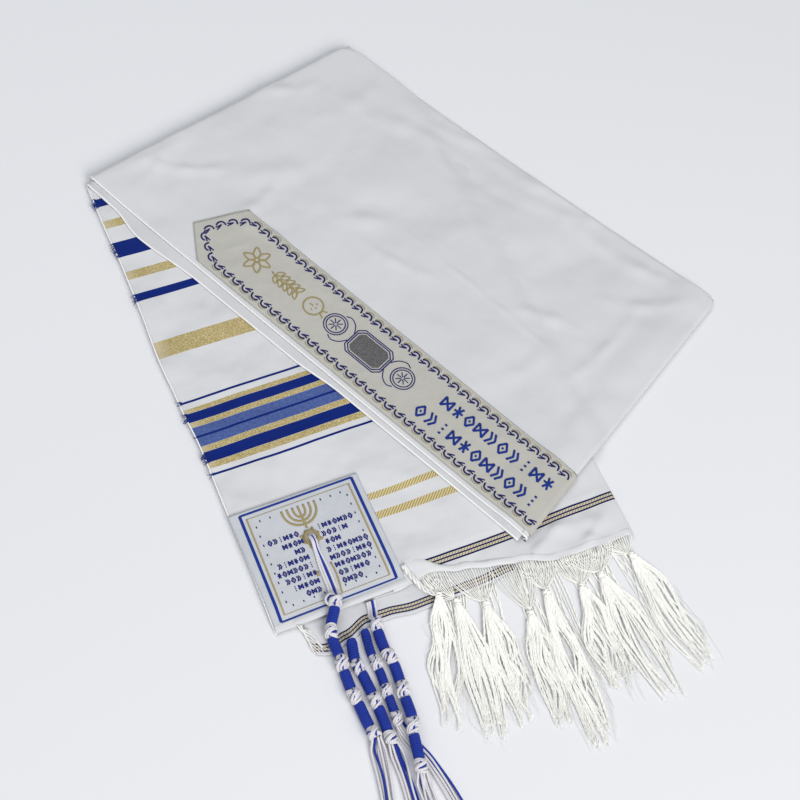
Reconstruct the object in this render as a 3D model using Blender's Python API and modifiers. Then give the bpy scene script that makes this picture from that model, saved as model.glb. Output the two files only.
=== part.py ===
"""A tallit prayer shawl, folded and laid flat, with its neckband, corner patch, tzitzit and fringe.

All lengths are metres. The plan is drawn in the folded strip's own frame: x runs across the strip from
the open selvedges to the lengthwise fold, y from the striped end's hem to the skewed fold, and z up.
"""

import math

import bmesh
import bpy
from mathutils import Vector

NAME = "tallit"

# Cloth
CLOTH_WIDTH = 0.560
STRIP_WIDTH = CLOTH_WIDTH / 2
WALL = 0.0012
GAP = 0.0003
LAYER = WALL + GAP
HIDDEN_HEIGHT = 0.0030
STRIPED_TOP = HIDDEN_HEIGHT + LAYER
FOLDED_TOP = 2 * STRIPED_TOP + GAP
FOLDED_TOP_BESIDE = 0.0048

# Corners of the folded-back half: the skewed fold's two ends, then the middle fold's two ends
SKEW_SELVEDGE = Vector((0.0032, 0.4119))
SKEW_CREASE = Vector((0.2585, 0.4765))
MIDDLE_CREASE = Vector((0.4460, 0.1370))
MIDDLE_SELVEDGE = Vector((0.1990, 0.0006))
CREASE_BOW = 0.0034

# Rounded folds: how far each reaches out, and how much it swells
SKEW_REACH = 0.0060
CREASE_REACH = 0.0030
MIDDLE_REACH = 0.0040
SKEW_SWELL = 0.0022
MIDDLE_SWELL = 0.0009

# Layered edge of the folded-back half: where the block steps up, how far in the second layer's edge
# reaches under the first, where it starts to droop, its insets at the two folds, and its loop
NECK_STEP = 0.0103
SECOND_INNER = 0.0100
SECOND_DROOP = -0.0006
SECOND_START = 0.0072
SECOND_END = 0.0045
LOOP_REACH = 0.0042
LOOP_FLOOR = 0.0008
BLOCK_INSET = 0.0020

# The hidden layers and the second striped end
BLOCK_LEFT = 0.0018
BLOCK_HEM = 0.0080
BLOCK_HEM_HEIGHT = WALL
HEM_SLOPE = 0.0100
HEM_SLACK = 0.0005
RAMP = 0.0060
CREASE_LIFT_FROM = 0.2500
CREASE_LIFT_RAMP = 0.0220
SECOND_END_LEFT = 0.0200
EDGE_MARGIN = 0.0010
FOLD_MARGIN = 0.0024
SKEW_MARGIN = 0.0120

# Corner patch, eyelet and neckband
PATCH_THICK = 0.0010
PATCH = {"left": -0.0006, "right": 0.1020, "bottom": 0.0010, "top": 0.0955}
EYELET = Vector((0.0502, 0.0588))
EYELET_RADIUS = 0.0052
EYELET_CORD = 0.0010
NECKBAND_WIDTH = 0.0640
NECKBAND_INSET = 0.0035
NECKBAND_LENGTH = 0.3660
NECKBAND_THICK = 0.0010
NECKBAND_WRAP = 0.0070

# Tzitzit and fringe
WINDING_RADIUS = 0.0043
KNOT_RADIUS = 0.0054
TAIL_SHARES = (0.075, 0.15, 0.24, 0.36, 0.55, 0.78, 1.0)
TAIL_DROP = 5.5
TAIL_STEP = 0.0021
TAIL_HALF = 0.0007
TAIL_SWELL = 1.1
TAIL_TIP = 0.7
CORD_HALF = 0.0006
CORD_SQUEEZE = (0.90, 0.76)
LOCK_HALF = 0.00065
ROOT_GAP = 0.0009
FLOOR_CLEARANCE = 0.0003

# Middle of the plan, which the finished part stands on
PLAN_CENTRE = Vector((0.22171, 0.09549))

# How far the striped end's hem lies below the strip's square end, from its left to its right edge
HEM = (
    # x       y
    (0.000, 0.0000),
    (0.050, 0.0010),
    (0.095, -0.0010),
    (0.110, 0.0010),
    (0.122, 0.0030),
    (0.145, -0.0025),
    (0.165, -0.0080),
    (0.190, -0.0130),
    (0.216, -0.0210),
    (0.263, -0.0225),
    (0.290, -0.0240),
)

# The second striped end's hem, which shows below the first
SECOND_HEM = (
    # x       y
    (0.015, -0.0225),
    (0.030, -0.0275),
    (0.045, -0.0235),
    (0.064, -0.0175),
    (0.080, -0.0180),
    (0.100, -0.0205),
    (0.150, -0.0200),
    (0.180, -0.0180),
    (0.192, -0.0085),
    (0.216, -0.0150),
    (0.290, -0.0190),
)

# Where the second striped end is cut off, out of sight
SECOND_BACK = (
    # x       y
    (0.180, 0.0074),
    (0.190, 0.0015),
    (0.206, 0.0015),
    (0.216, 0.0074),
)

# Sway of the open selvedges
SELVEDGE = (
    # y       x
    (-0.030, -0.0010),
    (0.000, -0.0010),
    (0.095, 0.0004),
    (0.155, 0.0014),
    (0.197, -0.0008),
    (0.236, -0.0022),
    (0.293, 0.0003),
    (0.334, 0.0014),
    (0.364, -0.0004),
    (0.420, 0.0000),
)

# How far the second layer's selvedge shows outside the first, along the folded-back half
SECOND_SHOWS = (
    # along   out
    (0.00, 0.0046),
    (0.06, 0.0055),
    (0.14, 0.0120),
    (0.28, 0.0080),
    (0.50, 0.0076),
    (0.60, 0.0042),
    (0.80, 0.0040),
    (1.00, 0.0045),
)

# Soft puckers of the folded-back half: middle, heading, half length, half width, height
PUCKERS = (
    # x      y      heading  long   wide   high
    (0.120, 0.372, -8.0, 0.050, 0.010, 0.0009),
    (0.225, 0.330, 20.0, 0.055, 0.013, 0.0011),
    (0.205, 0.412, 12.0, 0.060, 0.012, 0.0008),
    (0.300, 0.255, -25.0, 0.060, 0.012, 0.0008),
    (0.350, 0.180, 15.0, 0.050, 0.014, 0.0009),
    (0.290, 0.135, -40.0, 0.045, 0.010, 0.0006),
)

# The neckband's pointed end: distance across it, and distance cut back from its tip
NECKBAND_POINT = (
    # across  back
    (0.00, 0.0267),
    (0.18, 0.0135),
    (0.37, 0.0000),
    (0.68, 0.0108),
    (1.00, 0.0230),
)

# Each tassel: the route of its cords' middle as plan place and lift above the cloth, the ends of its
# body's double knots and windings in turn with their lift, how thick that body is, and its tails' way
# with how far they spread
TZITZIT = {
    "tzitzit_1": {
        "cords": ((0.0500, 0.0595, 0.0003), (0.0500, 0.0540, 0.0028), (0.0496, 0.0480, 0.0004),
                  (0.0492, 0.0340, 0.0), (0.0488, 0.0200, 0.0), (0.0484, 0.0140, 0.0008)),
        "body": ((0.0477, 0.0090, 0.0), (0.0440, 0.0015, 0.0), (0.0369, -0.0090, 0.0),
                 (0.0340, -0.0180, 0.0), (0.0338, -0.0318, 0.0), (0.0327, -0.0432, 0.0),
                 (0.0320, -0.0573, 0.0), (0.0327, -0.0683, 0.0), (0.0332, -0.0869, 0.0),
                 (0.0344, -0.0950, 0.0)),
        "knot_first": True,
        "size": 1.0,
        "tails": ((0.0290, -0.1200), (0.0170, -0.1750), (0.0100, -0.2530)),
        "spread": 0.0058,
    },
    "tzitzit_2": {
        "cords": (),
        "body": ((0.0462, -0.0238, 0.0), (0.0430, -0.0386, 0.0), (0.0437, -0.0489, 0.0),
                 (0.0444, -0.0656, 0.0), (0.0446, -0.0761, 0.0), (0.0439, -0.0946, 0.0),
                 (0.0436, -0.1020, 0.0)),
        "knot_first": False,
        "size": 1.0,
        "tails": ((0.0420, -0.1300), (0.0350, -0.1800), (0.0275, -0.2560)),
        "spread": 0.0050,
    },
    "tzitzit_3": {
        "cords": ((0.0712, -0.0016, 0.0), (0.0704, -0.0070, 0.0), (0.0688, -0.0125, 0.0006)),
        "body": ((0.0680, -0.0165, 0.0), (0.0668, -0.0244, 0.0), (0.0660, -0.0395, 0.0),
                 (0.0676, -0.0507, 0.0), (0.0664, -0.0646, 0.0), (0.0645, -0.0771, 0.0020),
                 (0.0625, -0.0924, 0.0042), (0.0585, -0.1040, 0.0047), (0.0550, -0.1215, 0.0047),
                 (0.0530, -0.1290, 0.0040)),
        "knot_first": True,
        "size": 1.0,
        "tails": ((0.0515, -0.1500), (0.0500, -0.2000), (0.0480, -0.2850)),
        "spread": 0.0058,
    },
    "tzitzit_4": {
        "cords": (),
        "body": ((0.0580, -0.0205, 0.0), (0.0556, -0.0400, 0.0), (0.0562, -0.0510, 0.0),
                 (0.0554, -0.0625, 0.0), (0.0547, -0.0715, 0.0), (0.0540, -0.0835, 0.0),
                 (0.0532, -0.0915, 0.0)),
        "knot_first": False,
        "size": 0.88,
        "tails": ((0.0570, -0.1070), (0.0640, -0.1250), (0.0690, -0.1700), (0.0680, -0.2480)),
        "spread": 0.0043,
    },
}

# Fringe tassels: the knot, the stretch of hem its threads come from, and the middle of its locks' ends
FRINGE = (
    # knot_x  knot_y   hem_from hem_to  tip_x   tip_y    spread locks
    (0.1196, -0.0160, 0.1100, 0.1225, 0.0890, -0.1060, 0.0070, 4),
    (0.1305, -0.0250, 0.1265, 0.1440, 0.1145, -0.1290, 0.0085, 5),
    (0.1495, -0.0345, 0.1480, 0.1680, 0.1420, -0.1190, 0.0085, 5),
    (0.1775, -0.0525, 0.1715, 0.1910, 0.1660, -0.1340, 0.0070, 5),
    (0.1955, -0.0420, 0.1945, 0.2120, 0.1850, -0.1560, 0.0075, 5),
    (0.2230, -0.0480, 0.2160, 0.2350, 0.2160, -0.1330, 0.0090, 5),
    (0.2410, -0.0440, 0.2390, 0.2570, 0.2500, -0.1430, 0.0110, 5),
    (0.2705, -0.0390, 0.2615, 0.2760, 0.2830, -0.1330, 0.0080, 5),
)
LOCK_SPACING = 0.0018
FRINGE_KNOT = Vector((0.0, 0.0062, 0.0044))

COLOURS = {
    # name       colour                    roughness  metallic
    "cloth": ((0.86, 0.86, 0.88), 0.62, 0.0),
    "striped": ((0.78, 0.80, 0.86), 0.60, 0.0),
    "neckband": ((0.66, 0.65, 0.61), 0.70, 0.0),
    "patch": ((0.62, 0.65, 0.74), 0.55, 0.0),
    "gold": ((0.62, 0.50, 0.27), 0.45, 0.3),
    "tassel": ((0.10, 0.16, 0.52), 0.70, 0.0),
    "fringe": ((0.86, 0.86, 0.83), 0.80, 0.0),
}


# ---------------------------------------------------------------- small helpers

def mix(low, high, share):
    return low + (high - low) * share


def smooth(share):
    """Runs from 0 to 1 with level ends."""
    share = min(max(share, 0.0), 1.0)
    return share * share * (3 - 2 * share)


def along_table(table, at):
    """Reads a two-column table at a place in its first column, with level stretches at its rows."""
    if at <= table[0][0]:
        return table[0][1]
    for (start, low), (end, high) in zip(table, table[1:]):
        if at <= end:
            return mix(low, high, smooth((at - start) / (end - start)))
    return table[-1][1]


def turned(heading):
    """Unit plan vector at a heading in degrees from +x."""
    return Vector((math.cos(math.radians(heading)), math.sin(math.radians(heading))))


def outward(start, end):
    """Unit normal on the left of the way from start to end."""
    way = (end - start).normalized()
    return Vector((-way.y, way.x))


def line_y(start, end, x):
    """Where the line through two plan points is at x."""
    return start.y + (end.y - start.y) * (x - start.x) / (end.x - start.x)


def new_material(name):
    colour, roughness, metallic = COLOURS[name]
    material = bpy.data.materials.new(name)
    material.use_nodes = True
    shader = material.node_tree.nodes["Principled BSDF"]
    shader.inputs["Base Color"].default_value = (*colour, 1.0)
    shader.inputs["Roughness"].default_value = roughness
    shader.inputs["Metallic"].default_value = metallic
    return material


def new_object(bm, name, material, stand):
    mesh = bpy.data.meshes.new(name)
    bm.to_mesh(mesh)
    bm.free()
    mesh.materials.append(material)
    mesh.shade_smooth()
    obj = bpy.data.objects.new(name, mesh)
    obj.parent = stand
    stand.users_collection[0].objects.link(obj)
    return obj


def give_wall(obj, thickness):
    """Turns an open sheet into a closed wall that grows inwards from its outer face."""
    wall = obj.modifiers.new("wall", "SOLIDIFY")
    wall.thickness = thickness
    wall.offset = -1.0
    wall.use_even_offset = True


# ---------------------------------------------------------------- heights of the pile

SKEW_OUT = outward(SKEW_SELVEDGE, SKEW_CREASE)
CREASE_OUT = outward(SKEW_CREASE, MIDDLE_CREASE)
MIDDLE_OUT = outward(MIDDLE_CREASE, MIDDLE_SELVEDGE)
SELVEDGE_OUT = outward(MIDDLE_SELVEDGE, SKEW_SELVEDGE)


def over_strip(x, clear, ramp):
    """1 over the lower strip, 0 beyond its lengthwise fold."""
    return smooth((STRIP_WIDTH + clear + ramp - x) / ramp)


def panel_top(point):
    """Height of the folded-back half's outer face at a plan point."""
    x, y = point.x, point.y
    height = mix(FOLDED_TOP_BESIDE, FOLDED_TOP, over_strip(x, 0.0, 0.022))
    skew_distance = (SKEW_SELVEDGE - point.xy).dot(SKEW_OUT)
    middle_distance = (MIDDLE_SELVEDGE - point.xy).dot(MIDDLE_OUT)
    height += SKEW_SWELL * math.exp(-(skew_distance / 0.035) ** 2)
    height += MIDDLE_SWELL * math.exp(-(middle_distance / 0.014) ** 2)
    for mid_x, mid_y, heading, long, wide, high in PUCKERS:
        away = Vector((x - mid_x, y - mid_y))
        along = away.dot(turned(heading)) / long
        across = away.dot(turned(heading + 90)) / wide
        height += high * math.exp(-along * along - across * across)
    return height


def fold_floor(point):
    """Height that the middle fold rests on: the striped end, then the surface beside it."""
    return (STRIPED_TOP + GAP) * over_strip(point.x, 0.003, 0.010)


def hem_y(x):
    return along_table(HEM, x)


def second_hem_y(x):
    return along_table(SECOND_HEM, x)


def crease_lift(x):
    """1 at the lengthwise fold, whose bulge keeps its full height down to the hem."""
    return smooth((x - CREASE_LIFT_FROM) / CREASE_LIFT_RAMP)


def hidden_top(x, y):
    """Top of the hidden layers of the lower strip."""
    full = max(min(max((y - BLOCK_HEM) / HEM_SLOPE, 0.0), 1.0), crease_lift(x))
    return mix(BLOCK_HEM_HEIGHT, HIDDEN_HEIGHT, full)


def striped_floor(x, y):
    """What the striped end lies on."""
    if y >= BLOCK_HEM:
        return hidden_top(x, y)
    by_block = smooth((y - BLOCK_HEM + RAMP) / RAMP)
    by_left = smooth((x - SECOND_END_LEFT + 1.5 * RAMP) / RAMP)
    return mix(BLOCK_HEM_HEIGHT * max(by_block, by_left), HIDDEN_HEIGHT, crease_lift(x))


def striped_top(x, y):
    return striped_floor(x, y) + LAYER


def support(x, y):
    """Top of whatever lies under a tassel or a lock of fringe."""
    second = smooth((y - second_hem_y(x) + 0.004) / 0.004) * smooth((x - SECOND_END_LEFT + 0.006) / 0.006)
    height = WALL * second
    hem = smooth((y - hem_y(x) + 0.005) / 0.005)
    height = max(height, mix(height, striped_top(x, y), hem))
    patch = smooth((y - PATCH["bottom"] + 0.004) / 0.004) * smooth((PATCH["right"] + 0.004 - x) / 0.004)
    return height + patch * (PATCH_THICK + 2 * GAP)


# ---------------------------------------------------------------- sheets and blocks

def laid_grid(columns, rows, place):
    """A grid of quads with its vertex (i, j) at place(columns[i], rows[j]), and its four rims."""
    bm = bmesh.new()
    bmesh.ops.create_grid(bm, x_segments=len(columns) - 1, y_segments=len(rows) - 1, size=0.5)
    rims = {
        "left": [e for e in bm.edges if all(v.co.x < -0.499 for v in e.verts)],
        "right": [e for e in bm.edges if all(v.co.x > 0.499 for v in e.verts)],
        "start": [e for e in bm.edges if all(v.co.y < -0.499 for v in e.verts)],
        "end": [e for e in bm.edges if all(v.co.y > 0.499 for v in e.verts)],
    }
    for vert in bm.verts:
        i = round((vert.co.x + 0.5) * (len(columns) - 1))
        j = round((vert.co.y + 0.5) * (len(rows) - 1))
        vert.co = place(columns[i], rows[j])
    bm.normal_update()
    if sum(face.calc_area() * face.normal.z for face in bm.faces) < 0:
        bmesh.ops.reverse_faces(bm, faces=bm.faces[:])
    return bm, rims


def add_skirt(bm, rims, rings):
    """Extrudes rims ring by ring. rims maps a rim's edges to a function giving, for a vertex place,
    its outward direction and its list of (out, height) steps; a corner takes the mean of its two."""
    number = bm.verts.layers.int.new("rim")
    feet = []
    by_vert = {}
    for edges, profile in rims:
        for vert in {v for edge in edges for v in edge.verts}:
            by_vert.setdefault(vert, []).append(profile(vert.co.copy()))
    for vert, sides in by_vert.items():
        vert[number] = len(feet)
        feet.append((vert.co.copy(), sides))
    edges = [edge for rim, _ in rims for edge in rim]
    for ring in range(rings):
        grown = bmesh.ops.extrude_edge_only(bm, edges=edges)["geom"]
        for vert in (g for g in grown if isinstance(g, bmesh.types.BMVert)):
            foot, sides = feet[vert[number]]
            share = 1.0 if len(sides) == 1 else 0.8
            place = foot.xy
            for direction, steps in sides:
                place = place + direction * steps[ring][0] * share
            height = sum(steps[ring][1] for _, steps in sides) / len(sides)
            vert.co = (place.x, place.y, height)
        edges = [g for g in grown if isinstance(g, bmesh.types.BMEdge)]
    return edges


def face_outwards(bm):
    """Turns a closed mesh's faces outwards."""
    bmesh.ops.recalc_face_normals(bm, faces=bm.faces[:])
    if bm.calc_volume(signed=True) < 0:
        bmesh.ops.reverse_faces(bm, faces=bm.faces[:])


def close_below(bm, edges):
    """Closes a block with one flat face."""
    bmesh.ops.contextual_create(bm, geom=edges)
    face_outwards(bm)


SHEET_ANGLES = (66, 40, 12, -14, -38)


def sheet_fold(direction, reach, floor):
    """Steps of a sheet's outer face round a fold, down to just above what it rests on."""
    def profile(place):
        rests = floor(place)
        half = (place.z - rests) / 2
        return direction, [
            (reach * math.cos(math.radians(angle)), rests + half * (1 + math.sin(math.radians(angle))))
            for angle in SHEET_ANGLES
        ]
    return profile


def block_fold(direction, reach, floor, sheet_top, rings):
    """Steps of the hidden layers inside such a fold, down to the flat underside."""
    def profile(place):
        rests = floor(place)
        half = (sheet_top(place) - rests) / 2
        inset = sheet_top(place) - place.z + 0.0001
        steps = []
        for ring in range(rings - 2):
            angle = mix(66, 20, ring / (rings - 3))
            out = max(reach - inset, 0.0004) * math.cos(math.radians(angle))
            rise = max(half - inset, 0.0001) * math.sin(math.radians(angle))
            steps.append((out, min(rests + half + rise, place.z)))
        steps.append((0.15 * reach, rests + 0.30 * half))
        steps.append((0.15 * reach, 0.0))
        return direction, steps
    return profile


def cut_edge(direction, rings):
    """Steps straight down to the flat underside."""
    def profile(place):
        return direction, [(0.0, place.z * (1 - (ring + 1) / rings)) for ring in range(rings)]
    return profile


def layered_edge(direction):
    """Steps down an open edge where three layers end, a little apart."""
    table = (
        # out     height
        (0.0000, 0.74),
        (-0.0020, 0.70),
        (-0.0020, 0.62),
        (0.0007, 0.58),
        (0.0007, 0.42),
        (-0.0020, 0.38),
        (-0.0020, 0.30),
        (0.0003, 0.26),
        (0.0003, 0.00),
    )

    def profile(place):
        return direction, [(out, place.z * share) for out, share in table]
    return profile


# ---------------------------------------------------------------- plan of the folded-back half

def panel_width(along):
    return (mix(SKEW_CREASE, MIDDLE_CREASE, along) - mix(SKEW_SELVEDGE, MIDDLE_SELVEDGE, along)).length


def panel_plan(across, along):
    """Plan point at a distance across from the first selvedge, and a share of the way to the middle."""
    near = mix(SKEW_SELVEDGE, MIDDLE_SELVEDGE, along)
    far = mix(SKEW_CREASE, MIDDLE_CREASE, along)
    way = far - near
    share = across / way.length
    bow = CREASE_BOW * math.sin(math.pi * along) * max(share, 0.0) ** 2
    return near + way * share - CREASE_OUT * bow


def panel_share(across, row, start_inset=SKEW_REACH, end_inset=MIDDLE_REACH):
    """Share of the way along, for a row counted between the two folds' feet."""
    side = across / panel_width(row)
    length = mix((MIDDLE_SELVEDGE - SKEW_SELVEDGE).length, (MIDDLE_CREASE - SKEW_CREASE).length, side)
    return mix(start_inset / length, 1 - end_inset / length, row)


def even(count):
    return [step / count for step in range(count + 1)]


PANEL_COLUMNS = [(NECK_STEP + 0.0001, share) for share in even(13)]
PANEL_ROWS = 16


def build_body_panel(material, stand):
    """The folded-back half's outer layer, rounded over three folds."""
    def place(column, row):
        fixed, share = column
        across = fixed + share * (panel_width(row) - CREASE_REACH - fixed)
        plan = panel_plan(across, panel_share(across, row))
        return Vector((plan.x, plan.y, panel_top(plan)))

    bm, rims = laid_grid([(0.0, 0.0)] + PANEL_COLUMNS, even(PANEL_ROWS), place)
    add_skirt(bm, [
        (rims["start"], sheet_fold(SKEW_OUT, SKEW_REACH, lambda p: 0.0)),
        (rims["right"], sheet_fold(CREASE_OUT, CREASE_REACH, lambda p: 0.0)),
        (rims["end"], sheet_fold(MIDDLE_OUT, MIDDLE_REACH, fold_floor)),
    ], len(SHEET_ANGLES))
    give_wall(new_object(bm, "body_panel", material, stand), WALL)


LOOP_ANGLES = (60, 25, -10, -45, -75)


def build_second_edge(material, stand):
    """The second layer's selvedge, which shows along the first and loops down at the skewed fold."""
    def place(column, row):
        inner = SECOND_INNER if column == 2 else SECOND_DROOP
        across = -along_table(SECOND_SHOWS, row) if column == 0 else inner
        plan = panel_plan(across, panel_share(max(across, 0.0), row, SECOND_START, SECOND_END))
        height = STRIPED_TOP + LAYER + 0.0001 if column == 0 else panel_top(plan) - LAYER
        return Vector((plan.x, plan.y, height))

    bm, rims = laid_grid([0, 1, 2], even(16), place)
    loop = [
        edge for edge in rims["start"]
        if all(SELVEDGE_OUT.dot(vert.co.xy - SKEW_SELVEDGE) > 0 for vert in edge.verts)
    ]

    def curl(top):
        half = (top.z - LOOP_FLOOR) / 2
        return SKEW_OUT, [
            (LOOP_REACH * math.cos(math.radians(angle)), top.z - half * (1 - math.sin(math.radians(angle))))
            for angle in LOOP_ANGLES
        ]

    add_skirt(bm, [(loop, curl)], len(LOOP_ANGLES))
    give_wall(new_object(bm, "second_layer_edge", material, stand), WALL)


def panel_block():
    """The hidden layers of the folded-back half, down to the surface they rest on."""
    columns = [(BLOCK_INSET, 0.0), (NECK_STEP, 0.0)] + PANEL_COLUMNS

    def place(column, row):
        fixed, share = column
        across = fixed + share * (panel_width(row) - CREASE_REACH - fixed)
        plan = panel_plan(across, panel_share(across, row))
        layers = 2 if fixed <= NECK_STEP else 1
        return Vector((plan.x, plan.y, panel_top(plan) - layers * LAYER))

    rings = 5
    bm, rims = laid_grid(columns, even(PANEL_ROWS), place)
    bottom = add_skirt(bm, [
        (rims["left"], cut_edge(SELVEDGE_OUT, rings)),
        (rims["start"], block_fold(SKEW_OUT, SKEW_REACH, lambda p: 0.0, panel_top, rings)),
        (rims["right"], block_fold(CREASE_OUT, CREASE_REACH, lambda p: 0.0, panel_top, rings)),
        (rims["end"], block_fold(MIDDLE_OUT, MIDDLE_REACH, fold_floor, panel_top, rings)),
    ], rings)
    close_below(bm, bottom)
    return bm


def strip_block():
    """The hidden layers of the lower strip."""
    right = STRIP_WIDTH - CREASE_REACH

    def place(column, row):
        x = mix(BLOCK_LEFT, right, column)
        under_skew = line_y(SKEW_SELVEDGE, SKEW_CREASE, x) - 0.010
        under_crease = line_y(SKEW_CREASE, MIDDLE_CREASE, x + 0.008)
        y = mix(BLOCK_HEM, min(under_skew, under_crease), row)
        x += along_table(SELVEDGE, y) * (1 - column)
        slack = HEM_SLACK * (1 - smooth((y - 0.035) / 0.020))
        return Vector((x, y, hidden_top(x, y) - slack))

    rows = [0.0, 0.008, 0.016, 0.024, 0.032] + [mix(0.10, 1.0, share) for share in even(9)]
    rings = 9
    bm, rims = laid_grid(even(8), rows, place)
    bottom = add_skirt(bm, [
        (rims["left"], layered_edge(Vector((-1.0, 0.0)))),
        (rims["start"], cut_edge(Vector((0.0, -1.0)), rings)),
        (rims["right"], block_fold(Vector((1.0, 0.0)), CREASE_REACH, lambda p: 0.0,
                                   lambda p: striped_top(p.x, p.y), rings)),
        (rims["end"], cut_edge(Vector((0.0, 1.0)), rings)),
    ], rings)
    close_below(bm, bottom)
    return bm


def build_hidden_layers(material, stand, cutters):
    """One rounded solid for every layer that is out of sight."""
    lower = new_object(strip_block(), "lower_hidden_layers", material, stand)
    for collection in list(lower.users_collection):
        collection.objects.unlink(lower)
    cutters.objects.link(lower)
    lower.hide_render = True
    lower.display_type = "WIRE"
    upper = new_object(panel_block(), "hidden_layers", material, stand)
    union = upper.modifiers.new("both halves", "BOOLEAN")
    union.operation = "UNION"
    union.solver = "EXACT"
    union.object = lower


def striped_limit(x):
    """Where the striped end goes out of sight, under the folded-back half."""
    if x < MIDDLE_SELVEDGE.x:
        under_edge = line_y(MIDDLE_SELVEDGE, SKEW_SELVEDGE, x) - EDGE_MARGIN
    else:
        under_edge = line_y(MIDDLE_SELVEDGE, MIDDLE_CREASE, x) + FOLD_MARGIN
    return min(under_edge, line_y(SKEW_SELVEDGE, SKEW_CREASE, x) - SKEW_MARGIN)


def build_striped_end(material, stand):
    """The striped end's top layer, from its hem to where the folded-back half covers it."""
    right = STRIP_WIDTH - CREASE_REACH
    columns = [0.0, 0.008, 0.020, 0.034, 0.048, 0.062, 0.078, 0.094, 0.108, 0.120, 0.132, 0.145, 0.160,
               0.172, 0.181, 0.190, MIDDLE_SELVEDGE.x, 0.210, 0.222, 0.236, 0.250, 0.264, right]
    rows = [(step / 6, 0.0) for step in range(6)] + [(1.0, step / 9) for step in range(10)]

    def place(column, row):
        x = column
        near, far = row
        limit = striped_limit(x)
        ledge = min(BLOCK_HEM + HEM_SLOPE, mix(hem_y(x), limit, 0.5))
        y = mix(hem_y(x), ledge, near) + (limit - ledge) * far
        x += along_table(SELVEDGE, y) * (1 - column / right) ** 3 * (1 - far ** 3)
        return Vector((x, y, striped_top(x, y)))

    bm, rims = laid_grid(columns, rows, place)
    add_skirt(bm, [(rims["right"], sheet_fold(Vector((1.0, 0.0)), CREASE_REACH, lambda p: 0.0))],
              len(SHEET_ANGLES))
    give_wall(new_object(bm, "striped_end", material, stand), WALL)


def build_second_end(material, stand):
    """The second striped end, flat on the surface below the first one's hem."""
    columns = [0.0200, 0.0250, 0.0310, 0.0370, 0.0450, 0.0540, 0.0640, 0.0740, 0.0860, 0.1000, 0.1250,
               0.1500, 0.1650, 0.1800, 0.1900, 0.2000, 0.2080, 0.2160, 0.2400, 0.2600, 0.2760]

    def place(column, row):
        y = mix(second_hem_y(column), along_table(SECOND_BACK, column), row)
        return Vector((column, y, WALL))

    bm, _ = laid_grid(columns, [0.0, 0.3, 0.65, 1.0], place)
    give_wall(new_object(bm, "second_striped_end", material, stand), WALL)


def build_corner_patch(material, stand):
    """The corner patch, on the striped end."""
    def place(column, row):
        return Vector((column, row, striped_top(column, row) + 2 * GAP + PATCH_THICK))

    columns = [PATCH["left"], 0.008, 0.020, 0.034, 0.048, 0.062, 0.078, 0.094, PATCH["right"]]
    rows = [PATCH["bottom"], 0.003, 0.006, 0.009, 0.012, 0.015, 0.018, 0.037, 0.056, 0.075, PATCH["top"]]
    bm, _ = laid_grid(columns, rows, place)
    give_wall(new_object(bm, "corner_patch", material, stand), PATCH_THICK)


def build_eyelet(material, stand):
    """The worked eyelet ring that the first tassel comes out of."""
    height = striped_top(EYELET.x, EYELET.y) + 3 * GAP + PATCH_THICK + EYELET_CORD
    bpy.ops.mesh.primitive_torus_add(
        major_radius=EYELET_RADIUS, minor_radius=EYELET_CORD, major_segments=16, minor_segments=6,
        location=(EYELET.x, EYELET.y, height))
    ring = bpy.context.object
    ring.name = "eyelet_ring"
    ring.data.materials.append(material)
    ring.data.shade_smooth()
    for collection in list(ring.users_collection):
        collection.objects.unlink(ring)
    stand.users_collection[0].objects.link(ring)
    ring.parent = stand


def build_neckband(material, stand):
    """The neckband, along the first selvedge and over the middle fold."""
    way = (SKEW_SELVEDGE - MIDDLE_SELVEDGE).normalized()
    across = -SELVEDGE_OUT
    fold_foot = MIDDLE_SELVEDGE - MIDDLE_OUT * MIDDLE_REACH
    columns = [share for share, _ in NECKBAND_POINT]
    rows = even(15) + [1.0 + NECKBAND_WRAP * share for share in (0.25, 0.5, 0.75, 1.0)]
    raised = GAP + NECKBAND_THICK

    def place(column, row):
        start = MIDDLE_SELVEDGE + across * (NECKBAND_INSET + column * NECKBAND_WIDTH)
        back = along_table(NECKBAND_POINT, column)
        tip = start + way * (NECKBAND_LENGTH - back)
        to_fold = (fold_foot - tip).dot(MIDDLE_OUT) / -way.dot(MIDDLE_OUT)
        if row <= 1.0:
            plan = tip - way * to_fold * row
            return Vector((plan.x, plan.y, panel_top(plan) + raised))
        foot = tip - way * to_fold
        rests = fold_floor(foot)
        half = (panel_top(foot) - rests) / 2
        angle = math.radians(mix(90, -20, (row - 1.0) / NECKBAND_WRAP))
        plan = foot + MIDDLE_OUT * (MIDDLE_REACH + raised) * math.cos(angle)
        return Vector((plan.x, plan.y, rests + half + (half + raised) * math.sin(angle)))

    bm, _ = laid_grid(columns, rows, place)
    give_wall(new_object(bm, "neckband", material, stand), NECKBAND_THICK)


# ---------------------------------------------------------------- strands, tassels and fringe

def grow_strand(bm, face, route, halves):
    """Grows a four-sided strand out of a face, through a route of middles with a half width each."""
    centre = face.calc_center_median()
    heading = (route[0] - centre).normalized()
    for middle, half in zip(route, halves):
        side = heading.cross(Vector((0, 0, 1))).normalized()
        rise = side.cross(heading).normalized()
        face = bmesh.ops.extrude_discrete_faces(bm, faces=[face])["faces"][0]
        signs = [(vert, (vert.co - centre).dot(side), (vert.co - centre).dot(rise)) for vert in face.verts]
        new_heading = (middle - centre).normalized()
        new_side = new_heading.cross(Vector((0, 0, 1))).normalized()
        new_rise = new_side.cross(new_heading).normalized()
        for vert, sideways, upwards in signs:
            vert.co = (middle + new_side * math.copysign(half, sideways)
                       + new_rise * math.copysign(half, upwards))
        centre, heading = middle, new_heading


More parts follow.
